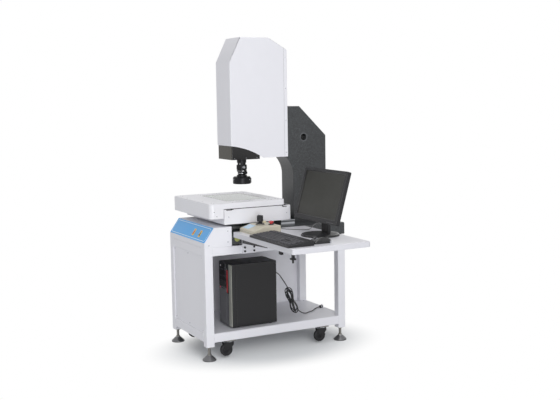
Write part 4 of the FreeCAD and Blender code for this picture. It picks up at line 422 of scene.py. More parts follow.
def rim(low, high, radius, width, height, frame=MACHINE):
    """A raised line round a rectangle with round corners that lies in a frame's XY plane."""
    bm = bmesh.new()
    corners = [bm.verts.new((x / 1000, y / 1000, low[2] / 1000))
               for x, y in ((low[0], low[1]), (high[0], low[1]), (high[0], high[1]), (low[0], high[1]))]
    bm.faces.new(corners)
    bmesh.ops.bevel(bm, geom=corners, offset=radius / 1000, offset_type="OFFSET", segments=6, profile=0.5,
                    affect="VERTICES", clamp_overlap=True, material=-1)
    inner = list(bm.faces)
    bmesh.ops.inset_region(bm, faces=inner, thickness=width / 1000, use_even_offset=True,
                           use_boundary=True)
    bmesh.ops.delete(bm, geom=inner, context="FACES")
    grown = bmesh.ops.extrude_face_region(bm, geom=list(bm.faces))["geom"]
    bmesh.ops.translate(bm, verts=[item for item in grown if isinstance(item, bmesh.types.BMVert)],
                        vec=(0, 0, height / 1000))
    bmesh.ops.recalc_face_normals(bm, faces=list(bm.faces))
    bmesh.ops.transform(bm, matrix=frame, verts=bm.verts)
    return bm


def ring_of(bm, count, centre):
    """Repeats what a bmesh holds round an upright axis through a point of the object's frame."""
    bmesh.ops.spin(bm, geom=list(bm.verts) + list(bm.edges) + list(bm.faces), cent=centre, axis=(0, 0, 1),
                   angle=2 * math.pi * (count - 1) / count, steps=count - 1, use_duplicate=True)
    return bm


# Sizes and colours that a user would change

class MACHINE_PG_sizes(bpy.types.PropertyGroup):
    """Sizes in the machine's own frame."""
    edge: bpy.props.FloatProperty(
        name="Edge", description="Width of the rounding on sheet and tube edges, in millimetres",
        default=1.2, min=0.1, max=4)
    lamp_power: bpy.props.FloatProperty(
        name="Lamp power", description="Power of the main lamp", default=60, min=1, unit="POWER")
    room_light: bpy.props.FloatProperty(
        name="Room light", description="Strength of the light from the room all round", default=0.44, min=0,
        subtype="FACTOR")
    lens: bpy.props.FloatProperty(
        name="Lens", description="Focal length of the camera, in millimetres", default=58.14, min=20)


class MachineStep:
    """What all steps share: they can be undone, and they stand in one panel."""
    bl_options = {"REGISTER", "UNDO"}


# Cords

def cord_piece(name, points, diameter_mm, material, nodes):
    """A cord on a smooth spline through the route of its CAD tubes, which goes
    back into the object at its far end."""
    curve = bpy.data.curves.new(name, "CURVE")
    curve.dimensions = "3D"
    line = curve.splines.new("NURBS")
    line.points.add(len(points) - 1)
    for point, place in zip(line.points, points):
        point.co = (*place, 1)
    line.order_u = 3
    line.use_endpoint_u = True
    curve.resolution_u = 8
    curve.bevel_depth = diameter_mm / 2000
    curve.bevel_resolution = 3
    curve.use_fill_caps = True
    curve.materials.append(MATERIALS[material])
    piece = bpy.data.objects.new(name, curve)
    bpy.context.scene.collection.objects.link(piece)
    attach(piece, "machine")
    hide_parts(*nodes)
    return piece


def hank_frame():
    """The tied hank's own axes: its foot, its leaning axis and its two cross directions."""
    lean = math.radians(20)
    return (spot(128, 200, 168), Vector((0, -math.sin(lean), math.cos(lean))), Vector((1, 0, 0)),
            Vector((0, math.cos(lean), math.sin(lean))))


def hank_turns():
    """The hank's turns: long loops through the tie, each longer than the last and
    turned a sixth of the way round from it, so that their ends fan out."""
    foot, axis, across, outward = hank_frame()
    middle, shortest, growth, belly = 97, 58, 6.4, 42
    first, last, steps = 40, 1950, 96
    points = []
    for step in range(steps + 1):
        along = first + (last - first) * step / steps
        turn = math.radians(along)
        plane = math.radians(90 + (along - last) / 6)
        half = shortest + growth * (along - first) / 360
        waist = 11.8 if math.sin(turn) > 0 else 6.2
        side = (waist + (belly - waist) * abs(math.cos(turn))) * math.sin(turn)
        points.append(foot + axis * (middle + half * math.cos(turn)) / 1000
                      + (across * math.cos(plane) + outward * math.sin(plane)) * side / 1000)
    return points


class MACHINE_OT_cords(MachineStep, bpy.types.Operator):
    """Lay the joystick's lead, and the computer's lead with its tied hank"""
    bl_idname = "machine.cords"
    bl_label = "Cords"

    def execute(self, context):
        table = 747.8
        joystick = [
            (302, -78.8, 769), (302, -50, 767), (305, -23, 757), (322, -3, 749),
            (348, 6, table), (372, 18, table), (396, 38, table), (420, 62, table), (441, 86, table),
            (462, 103, table), (485.5, 114.2, 766), (506.2, 124.2, 789), (534.2, 137.6, 795),
            (556, 148, 776), (556, 148, 748.2)]
        cord_piece("joystick_cord", [spot(*point) for point in joystick], 5, "grey_sheath",
                   ["joystick_lead"])
        self.computer_cord()
        return {"FINISHED"}

    def computer_cord(self):
        """From the computer down into the hank, round its turns and along the shelf to the gland."""
        shelf = 162.3
        fall = [(128, 14.2, 452), (128, 49, 454), (130, 80, 434), (127, 104, 400), (128, 122, 374),
                (128, 135, 352)]
        away = [(128, 242, 171), (118, 274, shelf), (96, 306, shelf), (82, 344, shelf),
                (52, 370, shelf), (32, 398, shelf + 1), (25, 430.8, 167.3)]
        points = [spot(*point) for point in fall] + hank_turns() + [spot(*point) for point in away]
        axis, across, outward = hank_frame()[1:]
        turn = Matrix((across, outward, axis)).transposed().to_4x4()
        band = [(13.6, 88), (15.0, 88.6), (15.2, 94), (15.0, 99.4), (13.6, 100), (12.8, 94), (13.6, 88)]
        tie = put("hank_tie", lathe(band, (128, 200, 168), turn), "rubber")
        cord_piece("computer_cord", points, 6, "black_sheath", ["computer_lead", "cable_hank", "wall_lead"])


# Stand

class MACHINE_OT_stand(MachineStep, bpy.types.Operator):
    """Dress the tube stand, its panels, feet and casters"""
    bl_idname = "machine.stand"
    bl_label = "Stand"

    def execute(self, context):
        edge = context.scene.machine_sizes.edge
        dress("stand_legs", "powder_white", 0.6)
        dress("stand_rails", "powder_white", 0.6)
        dress("stand_panels", "powder_white", 0.3)
        dress("foot_pads", "grey_pad", edge)
        dress("stand_fittings", "stud_steel", 0.5)
        self.seams()
        self.feet()
        self.casters()
        return {"FINISHED"}

    def seams(self):
        """Weld beads where the rails meet the legs, and the screws of the thin panels."""
        beads = []
        for low, top in ((105.4, 156.6), (611.4, 662)):
            for *_, side_x, side_y in CORNERS:
                x, y = side_x * 220, side_y * 420
                beads.append(((x - 1.4, side_y * 445 - 25.7, low), (x + 1.4, side_y * 445 + 25.7, top)))
                beads.append(((side_x * 245 - 25.7, y - 1.4, low), (side_x * 245 + 25.7, y + 1.4, top)))
        put("weld_beads", blocks(beads, 0.7, 2), "powder_white")
        heads = screws([(x, -462, z) for x in (-208, 0, 208) for z in (172, 598)], "-Y")
        screws([(-262, y, z) for y in (-406, -136, 136, 406) for z in (172, 598)], "-X", bm=heads)
        screws([(x, y, 159) for x in (-206, 206) for y in (-440, 440)], "Z", bm=heads)
        put("panel_screws", heads, "zinc_plate")
        lug = bolts([(25, 431.2, 167.3)], "Y", 10.5, 5)
        put("gland_nut", bolts([(25, 444.8, 167.3)], "-Y", 10.5, 5, lug), "black_plastic")

    def feet(self):
        """Threads on the four studs, and a pressed washer on each pad."""
        thread, washers = bmesh.new(), bmesh.new()
        outline = [(7.6 + 0.9 * (step % 2), 31 + step) for step in range(42)]
        for *_, side_x, side_y in CORNERS:
            lathe(outline, (side_x * 245, side_y * 445, 0), steps=20, bm=thread)
            lathe([(8.2, 29.8), (15.2, 29.8), (15.2, 31.2), (8.2, 31.2)], (side_x * 245, side_y * 445, 0),
                  steps=28, bm=washers)
            bolts([(side_x * 245, side_y * 445, 31.2)], "Z", 12.5, 8, thread)
        put("foot_threads", thread, "stud_steel")
        put("foot_washers", washers, "zinc_plate")

    def casters(self):
        """Forks with their ball races and axle nuts, and wheels with a hub inside the tyre."""
        races = bmesh.new()
        hub = [(12.5, 8.1), (27.6, 8.1), (27.2, 10.3), (25, 11.2), (19, 9.6), (15, 11.6), (12.5, 11.6),
               (12.5, 8.1)]
        race = [(12, 95.8), (19.5, 95.8), (21.6, 96.4), (22.2, 98), (21.6, 99.6), (19.5, 100.2),
                (12, 100.2)]
        for end, side, side_x, side_y in CORNERS:
            x, y = side_x * 245, side_y * 316
            fork, wheel = f"caster_fork_{end}_{side}", f"caster_wheel_{end}_{side}"
            dress(fork, "black_sheet", 0.8,
                  second=("zinc_plate", lambda face: face.calc_center_median().z > 0.08))
            dress(wheel, "rubber", 0.6)
            lathe(race, (x, y, 0), bm=races)
            bolts([(x + across, y + along, 103) for across in (-23, 23) for along in (-23, 23)], "-Z", 5,
                  3.6, races)
            hubs, nuts = bmesh.new(), bmesh.new()
            for way, axis in ((1, "X"), (-1, "-X")):
                lathe(hub, (x, y - 21, 49), axis, 32, hubs)
                bolts([(x + way * 16, y - 21, 49)], axis, 7.5, 4.5, nuts)
            put(f"hub_{end}_{side}", hubs, "black_plastic", wheel)
            put(f"axle_nuts_{end}_{side}", nuts, "black_oxide", fork)
        put("caster_races", races, "zinc_plate")


# Granite

class MACHINE_OT_granite(MachineStep, bpy.types.Operator):
    """Dress the granite base and column, with their mounts and plugs"""
    bl_idname = "machine.granite"
    bl_label = "Granite"

    def execute(self, context):
        dress("granite_base", "black_granite", 0.8)
        dress("granite_column", "black_granite", 0.8)
        dress("base_mounts", "rubber", 0.8)
        dress("transport_plugs", "olive_plug", 0.8)
        ribs = bmesh.new()
        for side, axis in ((-271, "-X"), (271, "X")):
            for inner, outer, steps in ((3, 4.2, 24), (9, 10.4, 32)):
                lathe([(inner, -0.2), (inner, 0.5), (outer, 0.5), (outer, -0.2)], (side, -262, 702),
                      axis, steps, ribs)
        put("plug_ribs", ribs, "olive_plug")
        # dowels and screws that hold the fixed plate of the upright slide are seen from behind
        inserts = bmesh.new()
        for x in (-62, 62):
            for z in (760, 900, 1000):
                lathe([(0, 0.4), (5, 0.4), (6, 0.8), (8, 0.8), (8.4, -0.2)], (x, 453, z), "Y", 20, inserts)
        put("column_inserts", inserts, "satin_aluminium")
        collars = bmesh.new()
        for side, axis in ((-75, "-X"), (75, "X")):
            lathe([(20.2, -0.2), (20.2, 0.6), (20.8, 0.9), (26.6, 0.9), (27.5, 0.2), (27.5, -0.2)],
                  (side, 296, 1266), axis, 48, collars)
        put("bore_collars", collars, "bush_grey")
        return {"FINISHED"}


# Covers and switches

# The widest seam that a strip closes, and how thick the strip is, in metres
SEAM_WIDTH = 0.004
STRIP_DEPTH = 0.0012


class MACHINE_OT_covers(MachineStep, bpy.types.Operator):
    """Dress the front cover with its switches, and the head's covers"""
    bl_idname = "machine.covers"
    bl_label = "Covers"

    def execute(self, context):
        edge = context.scene.machine_sizes.edge
        dress("front_cover", "powder_white", edge)
        dress("switch_panel", "blue_film")
        dress("switch_bezels", "yellow_plate", 0.8)
        dress("power_rocker", "red_gloss", 0.8)
        dress("lamp_rocker", "black_gloss", 0.8)
        dress("head_cover", "powder_white", edge)
        # the front faces take the lighter brown lacquer as a painted reflection; the other faces take the
        # black lacquer
        dress("nose_cover", "lacquer_front_painted_reflection", 0.8,
              second=("black_lacquer", lambda face: face.normal.y > -0.8))
        self.front()
        self.head()
        self.corners()
        return {"FINISHED"}

    def corners(self):
        """Strips that close the head cover's corner seams from inside, flush with its rounding."""
        bm, strips = merged("head_cover"), bmesh.new()
        knives = [edge for edge in bm.edges
                  if edge.calc_face_angle(0) > math.radians(130) and edge.calc_length() > 0.02]
        while knives:
            edge = knives.pop()
            middle = centre_of(edge)
            near = [other for other in knives if (centre_of(other) - middle).length < SEAM_WIDTH]
            if not near:
                continue
            knives.remove(near[0])
            outer = [vert.co.copy() for vert in (*edge.verts, *near[0].verts)]
            along = (edge.verts[1].co - edge.verts[0].co).normalized()
            inward = spot(0, -20, 1500) - middle
            inward = (inward - inward.dot(along) * along).normalized() * STRIP_DEPTH
            bmesh.ops.convex_hull(strips, input=[
                strips.verts.new(place) for place in outer + [place + inward for place in outer]])
        put("head_cover_corners", strips, "powder_white")

    def front(self):
        """The film's printed line, the plates' screws and the rockers' marks."""
        put("panel_line", rim((-256, 10, 2.0), (256, 96, 2.0), 14, 3.6, 0.12, COVER_SLOPE), "pale_line")
        put("bezel_screws", screws([(x, up, 4.5) for x in (60, 150) for up in (29.5, 66.5)], "Z", 1.9, 0.9,
                                   frame=COVER_SLOPE), "zinc_plate")
        for body, x in (("power_rocker", 60), ("lamp_rocker", 150)):
            top = leaning(x, -470 + (48 * 62 - 3 * 86) / 106.02, 690 + (48 * 86 + 3 * 62) / 106.02, 45.212)
            mark = block((-0.6, 5.6, 1.9), (0.6, 10.2, 2.75), frame=top)
            lathe([(1.7, -0.5), (1.7, 0.25), (2.5, 0.25), (2.5, -0.5)], (0, -7.6, 2.45), "Z", 24, mark, top)
            put(f"{body}_marks", mark, "white_print", body)
        heads = bmesh.new()
        for side, axis in ((-268, "-X"), (268, "X")):
            screws([(side, -322, 688), (side, -322, 752), (side, -442, 676)], axis, bm=heads)
        put("cover_screws", heads, "zinc_plate")

    def head(self):
        """The head cover's rear seam, its screws and its louvres, and the nose's ring."""
        seam = blocks([((side * 101.5 - 0.12, 147.6, 1153), (side * 101.5 + 0.12, 148.4, 1810))
                       for side in (-1, 1)], 0)
        put("head_seam", seam, "shadow_gap")
        heads = bmesh.new()
        for side, axis in ((-101.5, "-X"), (101.5, "X")):
            screws([(side, 159, z) for z in (1178, 1372, 1566, 1752)], axis, 2.8, 1.6, heads)
        screws([(x, 170, z) for x in (-86, 86) for z in (1178, 1420, 1660, 1785)], "Y", 2.8, 1.6, heads)
        put("head_screws", heads, "zinc_plate")
        louvres, slots = bmesh.new(), bmesh.new()
        for row in range(6):
            z = 1676 + 18 * row
            block((-46, 168.5, z), (46, 172.6, z + 8), 2.0, 3, louvres)
            block((-43, 169.9, z - 2.2), (43, 170.2, z + 0.6), 0, bm=slots)
        put("head_louvres", louvres, "powder_white")
        put("louvre_slots", slots, "shadow_gap")
        lip = lathe([(31.2, -0.2), (31.2, -1.6), (34.2, -2.0), (36.5, -1.2), (37, 0.2)], (0, -97, 1145))
        put("nose_lip", lip, "black_plastic", "measuring_head")
        heads = bmesh.new()
        for side, axis in ((-97, "-X"), (97, "X")):
            screws([(side, y, 1153) for y in (-188, -112, -40)], axis, 2.2, 1.3, heads)
        put("nose_screws", heads, "zinc_plate", "measuring_head")


# Slides

class MACHINE_OT_slides(MachineStep, bpy.types.Operator):
    """Dress the three slides with their screws, and the glass stage"""
    bl_idname = "machine.slides"
    bl_label = "Slides"

    def execute(self, context):
        for node in ("y_guideway", "x_guideway", "z_guideway", "x_screw", "z_screw"):
            dress(node, "ground_steel", 0.4)
        # the tray's inner faces take near black, as painted shade in its hollow
        dress("y_carriage", "cast_white", 1.0, second=("hollow_painted_shade", self.in_tray))
        dress("stage_plate", "cast_white", 2.0)
        dress("stage_glass", "float_glass", 0.5)
        dress("backlight", "satin_aluminium", 0.6)
        dress("z_carriage", "anodised", 0.8)
        self.lower()
        self.stage()
        return {"FINISHED"}

    def in_tray(self, face):
        """Whether a face of the tray looks into its hollow, where it takes painted shade."""
        x, y, z = face.calc_center_median() - spot(-12, -127, 0)
        return z < 0.874 and face.normal.z > -0.5 and abs(x) < 0.281 and abs(y) < 0.213

    def lower(self):
        """Rail screws, runner seals, the screw's thread and the motor's jacket."""
        holes = bmesh.new()
        for x in (-150, 150):
            for number in range(8):
                lathe([(0, 0.02), (3.4, 0.02), (4.6, 0.12), (5.4, 0.02)], (x, -256 + 60 * number, 771), "Z",
                      20, holes)
        put("rail_screws", holes, "black_plastic")
        seals = []
        for x in (-150, 150):
            for end, way in ((-180, -1), (-90, 1), (-20, -1), (70, 1)):
                near, far = sorted((end, end + way * 3))
                seals += [((x - 33, near, 748), (x - 17.8, far, 786)),
                          ((x + 17.8, near, 748), (x + 33, far, 786)),
                          ((x - 17.8, near, 772), (x + 17.8, far, 786))]
        put("runner_seals", blocks(seals), "green_seal", "y_carriage")
        outline = [(0, 2)]
        for step in range(96):
            outline.append((7.95 if step % 2 else 7.2, 2 + step * 476 / 95))
        thread = lathe(outline + [(0, 478)], (-100, -285, 768), "Y", 16)
        put("y_screw_thread", thread, "ground_steel", "y_screw", "y_screw")
        jacket = block((-121.4, 199, 746.6), (-78.6, 239, 789.4), 2.5, 3)
        put("motor_jacket", jacket, "black_sheet")
        lens = lathe([(0, 1.6), (40, 1.0), (47, 0.2), (47.6, -0.5)], (0, -97, 774))
        put("lamp_lens", lens, "frosted_ring")

    def stage(self):
        """Screws in the stage's ends, its threaded holes and the stops in its gap."""
        heads = screws([(272, y, 832) for y in (-316, -127, 62)], "X", 3, 1.6)
        screws([(-296, y, 832) for y in (-316, -127, 62)], "-X", 3, 0.9, heads)
        put("carriage_screws", heads, "zinc_plate", "y_carriage")
        plate = bmesh.new()
        holes = [(x, y, 912) for x in (-266, -232, 208, 242) for y in (-395, -275, -150, -25, 20)]
        holes += [(x, y, 912) for x in (-130, 106) for y in (-406, 32)]
        for hole in holes:
            lathe([(0, 0.05), (2.4, 0.05), (3.6, 0.14), (4.4, 0.05), (4.4, -0.3)], hole, "Z", 16, plate)
        screws([(273, -407, 866), (273, -390, 840)], "X", 2.4, 1.4, plate)
        put("stage_holes", plate, "black_oxide", "stage")
        gasket = rim((-193.6, -281.6, 911.9), (169.6, -18.4, 911.9), 1.2, 1.6, 0.35)
        put("glass_gasket", gasket, "rubber", "stage")
        stops = blocks([((266, -330, 871), (276.4, -296, 875.4)), ((266, -300, 874), (276.4, -286, 879.4)),
                        ((266, 34, 868), (276.4, 39, 879)), ((266, 40, 868), (276.4, 62, 871.4))], 0.6)
        put("gap_stops", stops, "black_plastic", "y_carriage")
        scale = block((272.9, -286, 876.4), (274.2, 34, 879.2), 0.4)
        put("gap_scale", scale, "black_plastic", "y_carriage")


# Lens and lights

class MACHINE_OT_optics(MachineStep, bpy.types.Operator):
    """Dress the camera, zoom lens and ring light"""
    bl_idname = "machine.optics"
    bl_label = "Optics"

    def execute(self, context):
        for node, width in (("camera", 0.6), ("zoom_lens", 0.5), ("zoom_ring", 0.5), ("ring_light", 0.8)):
            dress(node, "anodised", width)
        self.barrel()
        self.light()
        return {"FINISHED"}

    def barrel(self):
        """The lens's front glass and bands, its thumb screws and the knurled ring."""
        glass = lathe([(0, 4.6), (9, 5.2), (16.6, 7.0)], (0, -97, 1035))
        put("front_glass", glass, "coated_lens", "measuring_head")
        bands = lathe([(24.9, 20), (25.5, 20.2), (25.5, 22.4), (24.9, 22.6)], LENS_FOOT)
        put("lens_bands", bands, "satin_aluminium", "measuring_head")
        collar = lathe([(24.9, 84), (28.4, 84.6), (28.8, 86), (28.8, 104), (28.4, 105.4), (24.9, 106)],
                       LENS_FOOT)
        lathe([(24.9, 31), (30.2, 31.4), (30.2, 39.4), (24.9, 40)], LENS_FOOT, bm=collar)
        put("lens_collar", collar, "anodised", "measuring_head")
        screw = lathe([(0, 0), (3.4, 0), (3.4, 5), (8, 5.4), (8.8, 6.6), (8.8, 13), (8, 14), (0, 14)],
                      (30, -103, 1095), "X", 24)
        put("thumb_screw", screw, "zinc_plate", "zoom_ring")
        scale = ring_of(block((30.1, -97.4, 1069), (30.5, -96.6, 1073.4), 0), 36, LENS_AXIS)
        block((28.2, -108, 1068.4), (30.9, -98, 1074.6), 0.4, bm=scale)
        put("zoom_scale", scale, "white_print", "measuring_head")
        mark = block((18.5, -119.8, 1110), (21.2, -116.6, 1121), 0.5)
        put("white_index", mark, "white_print", "measuring_head")
        knob = lathe([(0, 0), (5, 0), (5, 4), (9.5, 5), (10.5, 7), (10.5, 17), (9.5, 18.5), (0, 19)],
                     (28, -91, 1062), "X", 28)
        block((20, -101, 1054), (30, -81, 1070), 1.5, bm=knob)
        put("focus_knob", knob, "anodised", "measuring_head")
        ribs = block((30.2, -98, 1081), (31.5, -96, 1105), 0.5)
        ring_of(ribs, 40, LENS_AXIS)
        put("zoom_knurl", ribs, "anodised", "zoom_ring")

    def light(self):
        """Two rows of lamps on the ring light's cone, and its three holding screws."""
        for name, radius, height, count in (("outer", 38.5, 994.9, 30), ("inner", 31, 1001.6, 22)):
            lamp = lathe([(0, -2.2), (1.6, -1.8), (2.4, -0.4), (2.5, 1.6)], (radius, -97, height), steps=12)
            put(f"ring_lamps_{name}", ring_of(lamp, count, LENS_AXIS), "white_light", "measuring_head")
        holder = screws([(0, -152, 1018)], "-Y", 3.6, 3.4)
        put("ring_screws", ring_of(holder, 3, LENS_AXIS), "zinc_plate", "measuring_head")
        fins = bmesh.new()
        for height in (12, 18, 24, 30):
            lathe([(54.8, height), (55.3, height + 0.2), (55.3, height + 2), (54.8, height + 2.2)],
                  RING_FOOT, bm=fins)
        block((-12, -48, 996), (12, -38, 1026), 2, bm=fins)
        put("ring_fins", fins, "anodised", "measuring_head")


# Work place

class MACHINE_OT_table(MachineStep, bpy.types.Operator):
    """Dress the side table, its arms and the joystick box"""
    bl_idname = "machine.table"
    bl_label = "Side table"

    def execute(self, context):
        dress("side_table", "laminate", 0.5, second=("edge_band", lambda face: abs(face.normal.z) < 0.5))
        # the arms' run under the table is black, as painted shade where the table's shadow falls; the rest
        # is white
        dress("table_arms", "powder_white", 0.8,
              second=("black_sheet", lambda face: face.calc_center_median().x > -0.071))
        self.under()
        self.joystick()
        return {"FINISHED"}

    def under(self):
        """The cord's bushing, the clamps and blocks below the table, and a black strip of painted shadow
        under its front edge.
        """
        bushing = lathe([(3.2, 0.6), (3.2, 3.6), (21, 3.7), (25.6, 1.6), (26.4, 0.05), (24, 0.02)],
                        (556, 148, 745))
        put("cord_bushing", bushing, "black_plastic")
        hook = blocks([((269.8, -222, 640), (274.6, -186, 658)), ((269.8, -210, 622), (274, -198, 642)),
                       ((269.8, -208, 612), (272.6, -200, 624))], 1.2, 2)
        blocks([((655, -197, 661), (685, -183, 690)), ((798, -197, 660), (812, -183, 690)),
                ((790, -202, 652), (820, -178, 661))], 1.5, 2, hook)
        lathe([(0, 0), (5, 0), (6, 1), (6, 18), (0, 18)], (805, -190, 634), bm=hook)
        # a black strip under the table's front edge that tapers to the right: the table edge's painted
        # shadow
        shadow_strip = block((385, -286, 692), (690, -281, 714.8))
        for vert in shadow_strip.verts:
            if vert.co.z < 0.70 and vert.co.x > 0.2:
                vert.co.z = 0.708
        put("table_painted_shadow", shadow_strip, "black_sheet")
        put("table_clamps", hook, "black_plastic")
        put("clamp_screws", screws([(274.6, -204, 649)], "X", 3.4, 2.4), "zinc_plate")
        heads = screws([(x, y, 690) for y in (-190, 80) for x in (310, 480, 660, 790)], "-Z", 4, 2.6)
        put("arm_wood_screws", heads, "zinc_plate")

    def joystick(self):
        """The box with its seam, label, boot, buttons and dial."""
        dress("joystick_box", "beige_plastic", 1.2)
        dress("joystick_gimbal", "ground_steel", 0.3)
        dress("joystick_lever", "black_plastic", 0.8)
        dress("stop_button", "red_gloss", 1.0)
        dress("speed_dial", "cream_plastic", 0.8)
        seam = rim((285.8, -255.2, 752), (466.2, -78.8, 752), 5.2, 0.6, 0.8)
        put("box_seam", seam, "shadow_gap")
        label = block((16, 12, 0.02), (92, 62, 0.5), 0.25, frame=JOY_SLOPE)
        put("box_label", label, "pale_film")
        put("label_line", rim((19, 15, 0.5), (89, 59, 0.5), 3, 0.9, 0.08, JOY_SLOPE), "blue_label")
        collar = lathe([(19.6, 8.3), (21.4, 8.6), (24.6, 5.6), (26.3, 0.9), (26.5, 0), (21, 0)],
                       (372, -165, 789))
        put("stick_collar_shown", collar, "black_plastic")
        pleats = bmesh.new()
        for number in range(4):
            high = 10.4 + 2.3 * number
            wide = math.sqrt(21 * 21 - high * high)
            lathe([(wide - 0.6, high - 0.9), (wide + 0.35, high - 0.2), (wide + 0.25, high + 0.4),
                   (wide - 1.2, high + 0.9)], STICK_PIVOT, steps=40, bm=pleats)
        put("boot_pleats", pleats, "rubber", "joystick_lever")
        grip = lathe([(0, 59), (11, 59), (16, 58), (18, 55.5), (18, 52.4), (17.5, 52), (17.5, 49),
                      (18, 48.6), (18, 27), (16, 23), (9, 21), (0, 21)], STICK_PIVOT)
        put("knob_grip", grip, "rubber", "joystick_lever")
        ring = lathe([(8.6, 5.1), (14.2, 5.4), (15.3, 4.8), (15.4, 0.0)], (408, -112, 789))
        put("stop_ring", ring, "black_plastic")
        arrows = ring_of(block((414.5, -112.6, 809.0), (418, -111.4, 809.9), 0.2), 3, spot(408, -112, 0))
        put("stop_marks", arrows, "white_print", "stop_button")
        ticks = ring_of(block((333.4, -112.4, 788.9), (336.4, -111.6, 789.15), 0), 12, spot(322, -112, 0))
        put("dial_ticks", ticks, "black_print")
        ridges = ring_of(block((330.4, -112.5, 791), (331.2, -111.5, 800.5), 0.2), 20, spot(322, -112, 0))
        put("dial_ridges", ridges, "cream_plastic", "speed_dial")
        pointer = block((321.4, -111, 801.8), (322.6, -104.2, 802.3), 0.2)
        put("dial_pointer", pointer, "black_print", "speed_dial")
        relief = lathe([(5.6, -0.3), (5.6, 2.4), (4.2, 4), (4.6, 6), (3.9, 8), (4.3, 10), (3.6, 12),
                        (4.0, 14), (3.3, 16), (3.5, 18), (2.9, 20), (2.4, 20)], (302, -79, 769), "Y", 24)
        put("joystick_relief", relief, "grey_sheath")
        feet = screws([(x, -79, z) for x in (330, 440) for z in (756, 780)], "Y", 2.6, 1.6)
        put("box_screws", feet, "zinc_plate")


class MACHINE_OT_keyboard(MachineStep, bpy.types.Operator):
    """Dress the keyboard and the mouse"""
    bl_idname = "machine.keyboard"
    bl_label = "Keyboard and mouse"

    def execute(self, context):
        self.keys()
        silver = ("silver_paint", lambda face: face.calc_center_median().z < 0.7565
                  and face.calc_center_median().y > -0.09)
        dress("mouse_body", "black_gloss", 0.6, smooth=40, second=silver)
        for node in ("mouse_button_left", "mouse_button_right"):
            dress(node, "black_gloss", 0.4, smooth=40)
        wheel = lathe([(0, -3), (6, -3), (8.4, -2.4), (8.8, -1.4), (8.2, -0.7), (8.8, 0), (8.2, 0.7),
                       (8.8, 1.4), (8.4, 2.4), (6, 3), (0, 3)], (895, -104, 768), "X", 32)
        put("mouse_wheel", wheel, "rubber", "mouse")
        return {"FINISHED"}

    def keys(self):
        """The keyboard: a textured tray, and caps whose tops are dished."""
        bm = merged("keyboard")
        tops = [face for face in bm.faces if face.normal.dot(Vector((0, -0.0957, 0.9954))) > 0.999
                and face.calc_area() < 0.003]
        bmesh.ops.inset_individual(bm, faces=tops, thickness=0.0022, depth=-0.0004)
        soften(bm, 0.35, segments=1)
        bed = KEY_BED.inverted()
        caps = ("key_caps", lambda face: (bed @ face.calc_center_median()).z > 0.0004)
        put("keyboard_shown", bm, "black_plastic", "machine", "keyboard", second=caps)
        lights = blocks([((x, 132.5, 0.02), (x + 5, 134, 0.3)) for x in (372, 390, 408)], 0.1,
                        frame=KEY_BED)
        put("key_lights", lights, "grey_plastic")
        rest = rim((6, 6, 0.05), (444, 150, 0.05), 4, 0.8, 0.25, KEY_BED)
        put("tray_line", rest, "black_gloss")


class MACHINE_OT_monitor(MachineStep, bpy.types.Operator):
    """Dress the monitor on its stand"""
    bl_idname = "machine.monitor"
    bl_label = "Monitor"

    def execute(self, context):
        dress("monitor_housing", "black_plastic", 1.6)
        dress("monitor_screen", "screen_film", 0.0)
        dress("monitor_stand", "black_plastic", 1.4)
        upright = MONITOR_FACE @ Matrix.Rotation(math.radians(90), 4, "X")
        line = rim((-208, -124, 0.0), (208, 132, 0.0), 2, 2.0, 0.5, upright)
        put("bezel_line", line, "black_gloss", "monitor")
        keys = blocks([((x, -0.9, -141), (x + 10, 0.2, -137.6)) for x in range(128, 189, 15)], 0.4,
                      frame=MONITOR_FACE)
        put("monitor_keys", keys, "grey_plastic", "monitor")
        light = block((206, -0.7, -140.6), (211, 0.2, -138.4), 0.4, frame=MONITOR_FACE)
        put("monitor_light", light, "grey_plastic", "monitor")
        vents = blocks([((-150, 33.6, 44 + 6 * row), (150, 34.15, 46.4 + 6 * row)) for row in range(8)], 0,
                       frame=MONITOR_FACE)
        blocks([((-120, 33.6, -88), (120, 34.2, -70))], 0.5, bm=vents, frame=MONITOR_FACE)
        put("monitor_vents", vents, "shadow_gap", "monitor")
        sockets = blocks([((-96, 33.8, -84), (-62, 35.0, -74)), ((-40, 33.8, -85), (-6, 35.6, -73)),
                          ((40, 33.8, -87), (66, 35.4, -71))], 0.8, frame=MONITOR_FACE)
        put("monitor_sockets", sockets, "satin_aluminium", "monitor")
        caps = bmesh.new()
        for x, axis in ((618, "-X"), (710, "X")):
            lathe([(0, 3), (6.4, 2.6), (8.2, 1), (8.4, -0.2)], (x, 99.99, 928.76), axis, 28, caps)
        put("hinge_caps", caps, "grey_plastic", "monitor")
        ring = lathe([(101, 6.8), (104.2, 9.4), (102.6, 10.6), (98.6, 10.2)], (664, 62, 745), steps=64)
        put("base_ring", ring, "black_gloss")
        neck = block((634, 110.6, 770), (694, 113.2, 905), 1.2)
        put("neck_cover", neck, "grey_plastic")
        return {"FINISHED"}


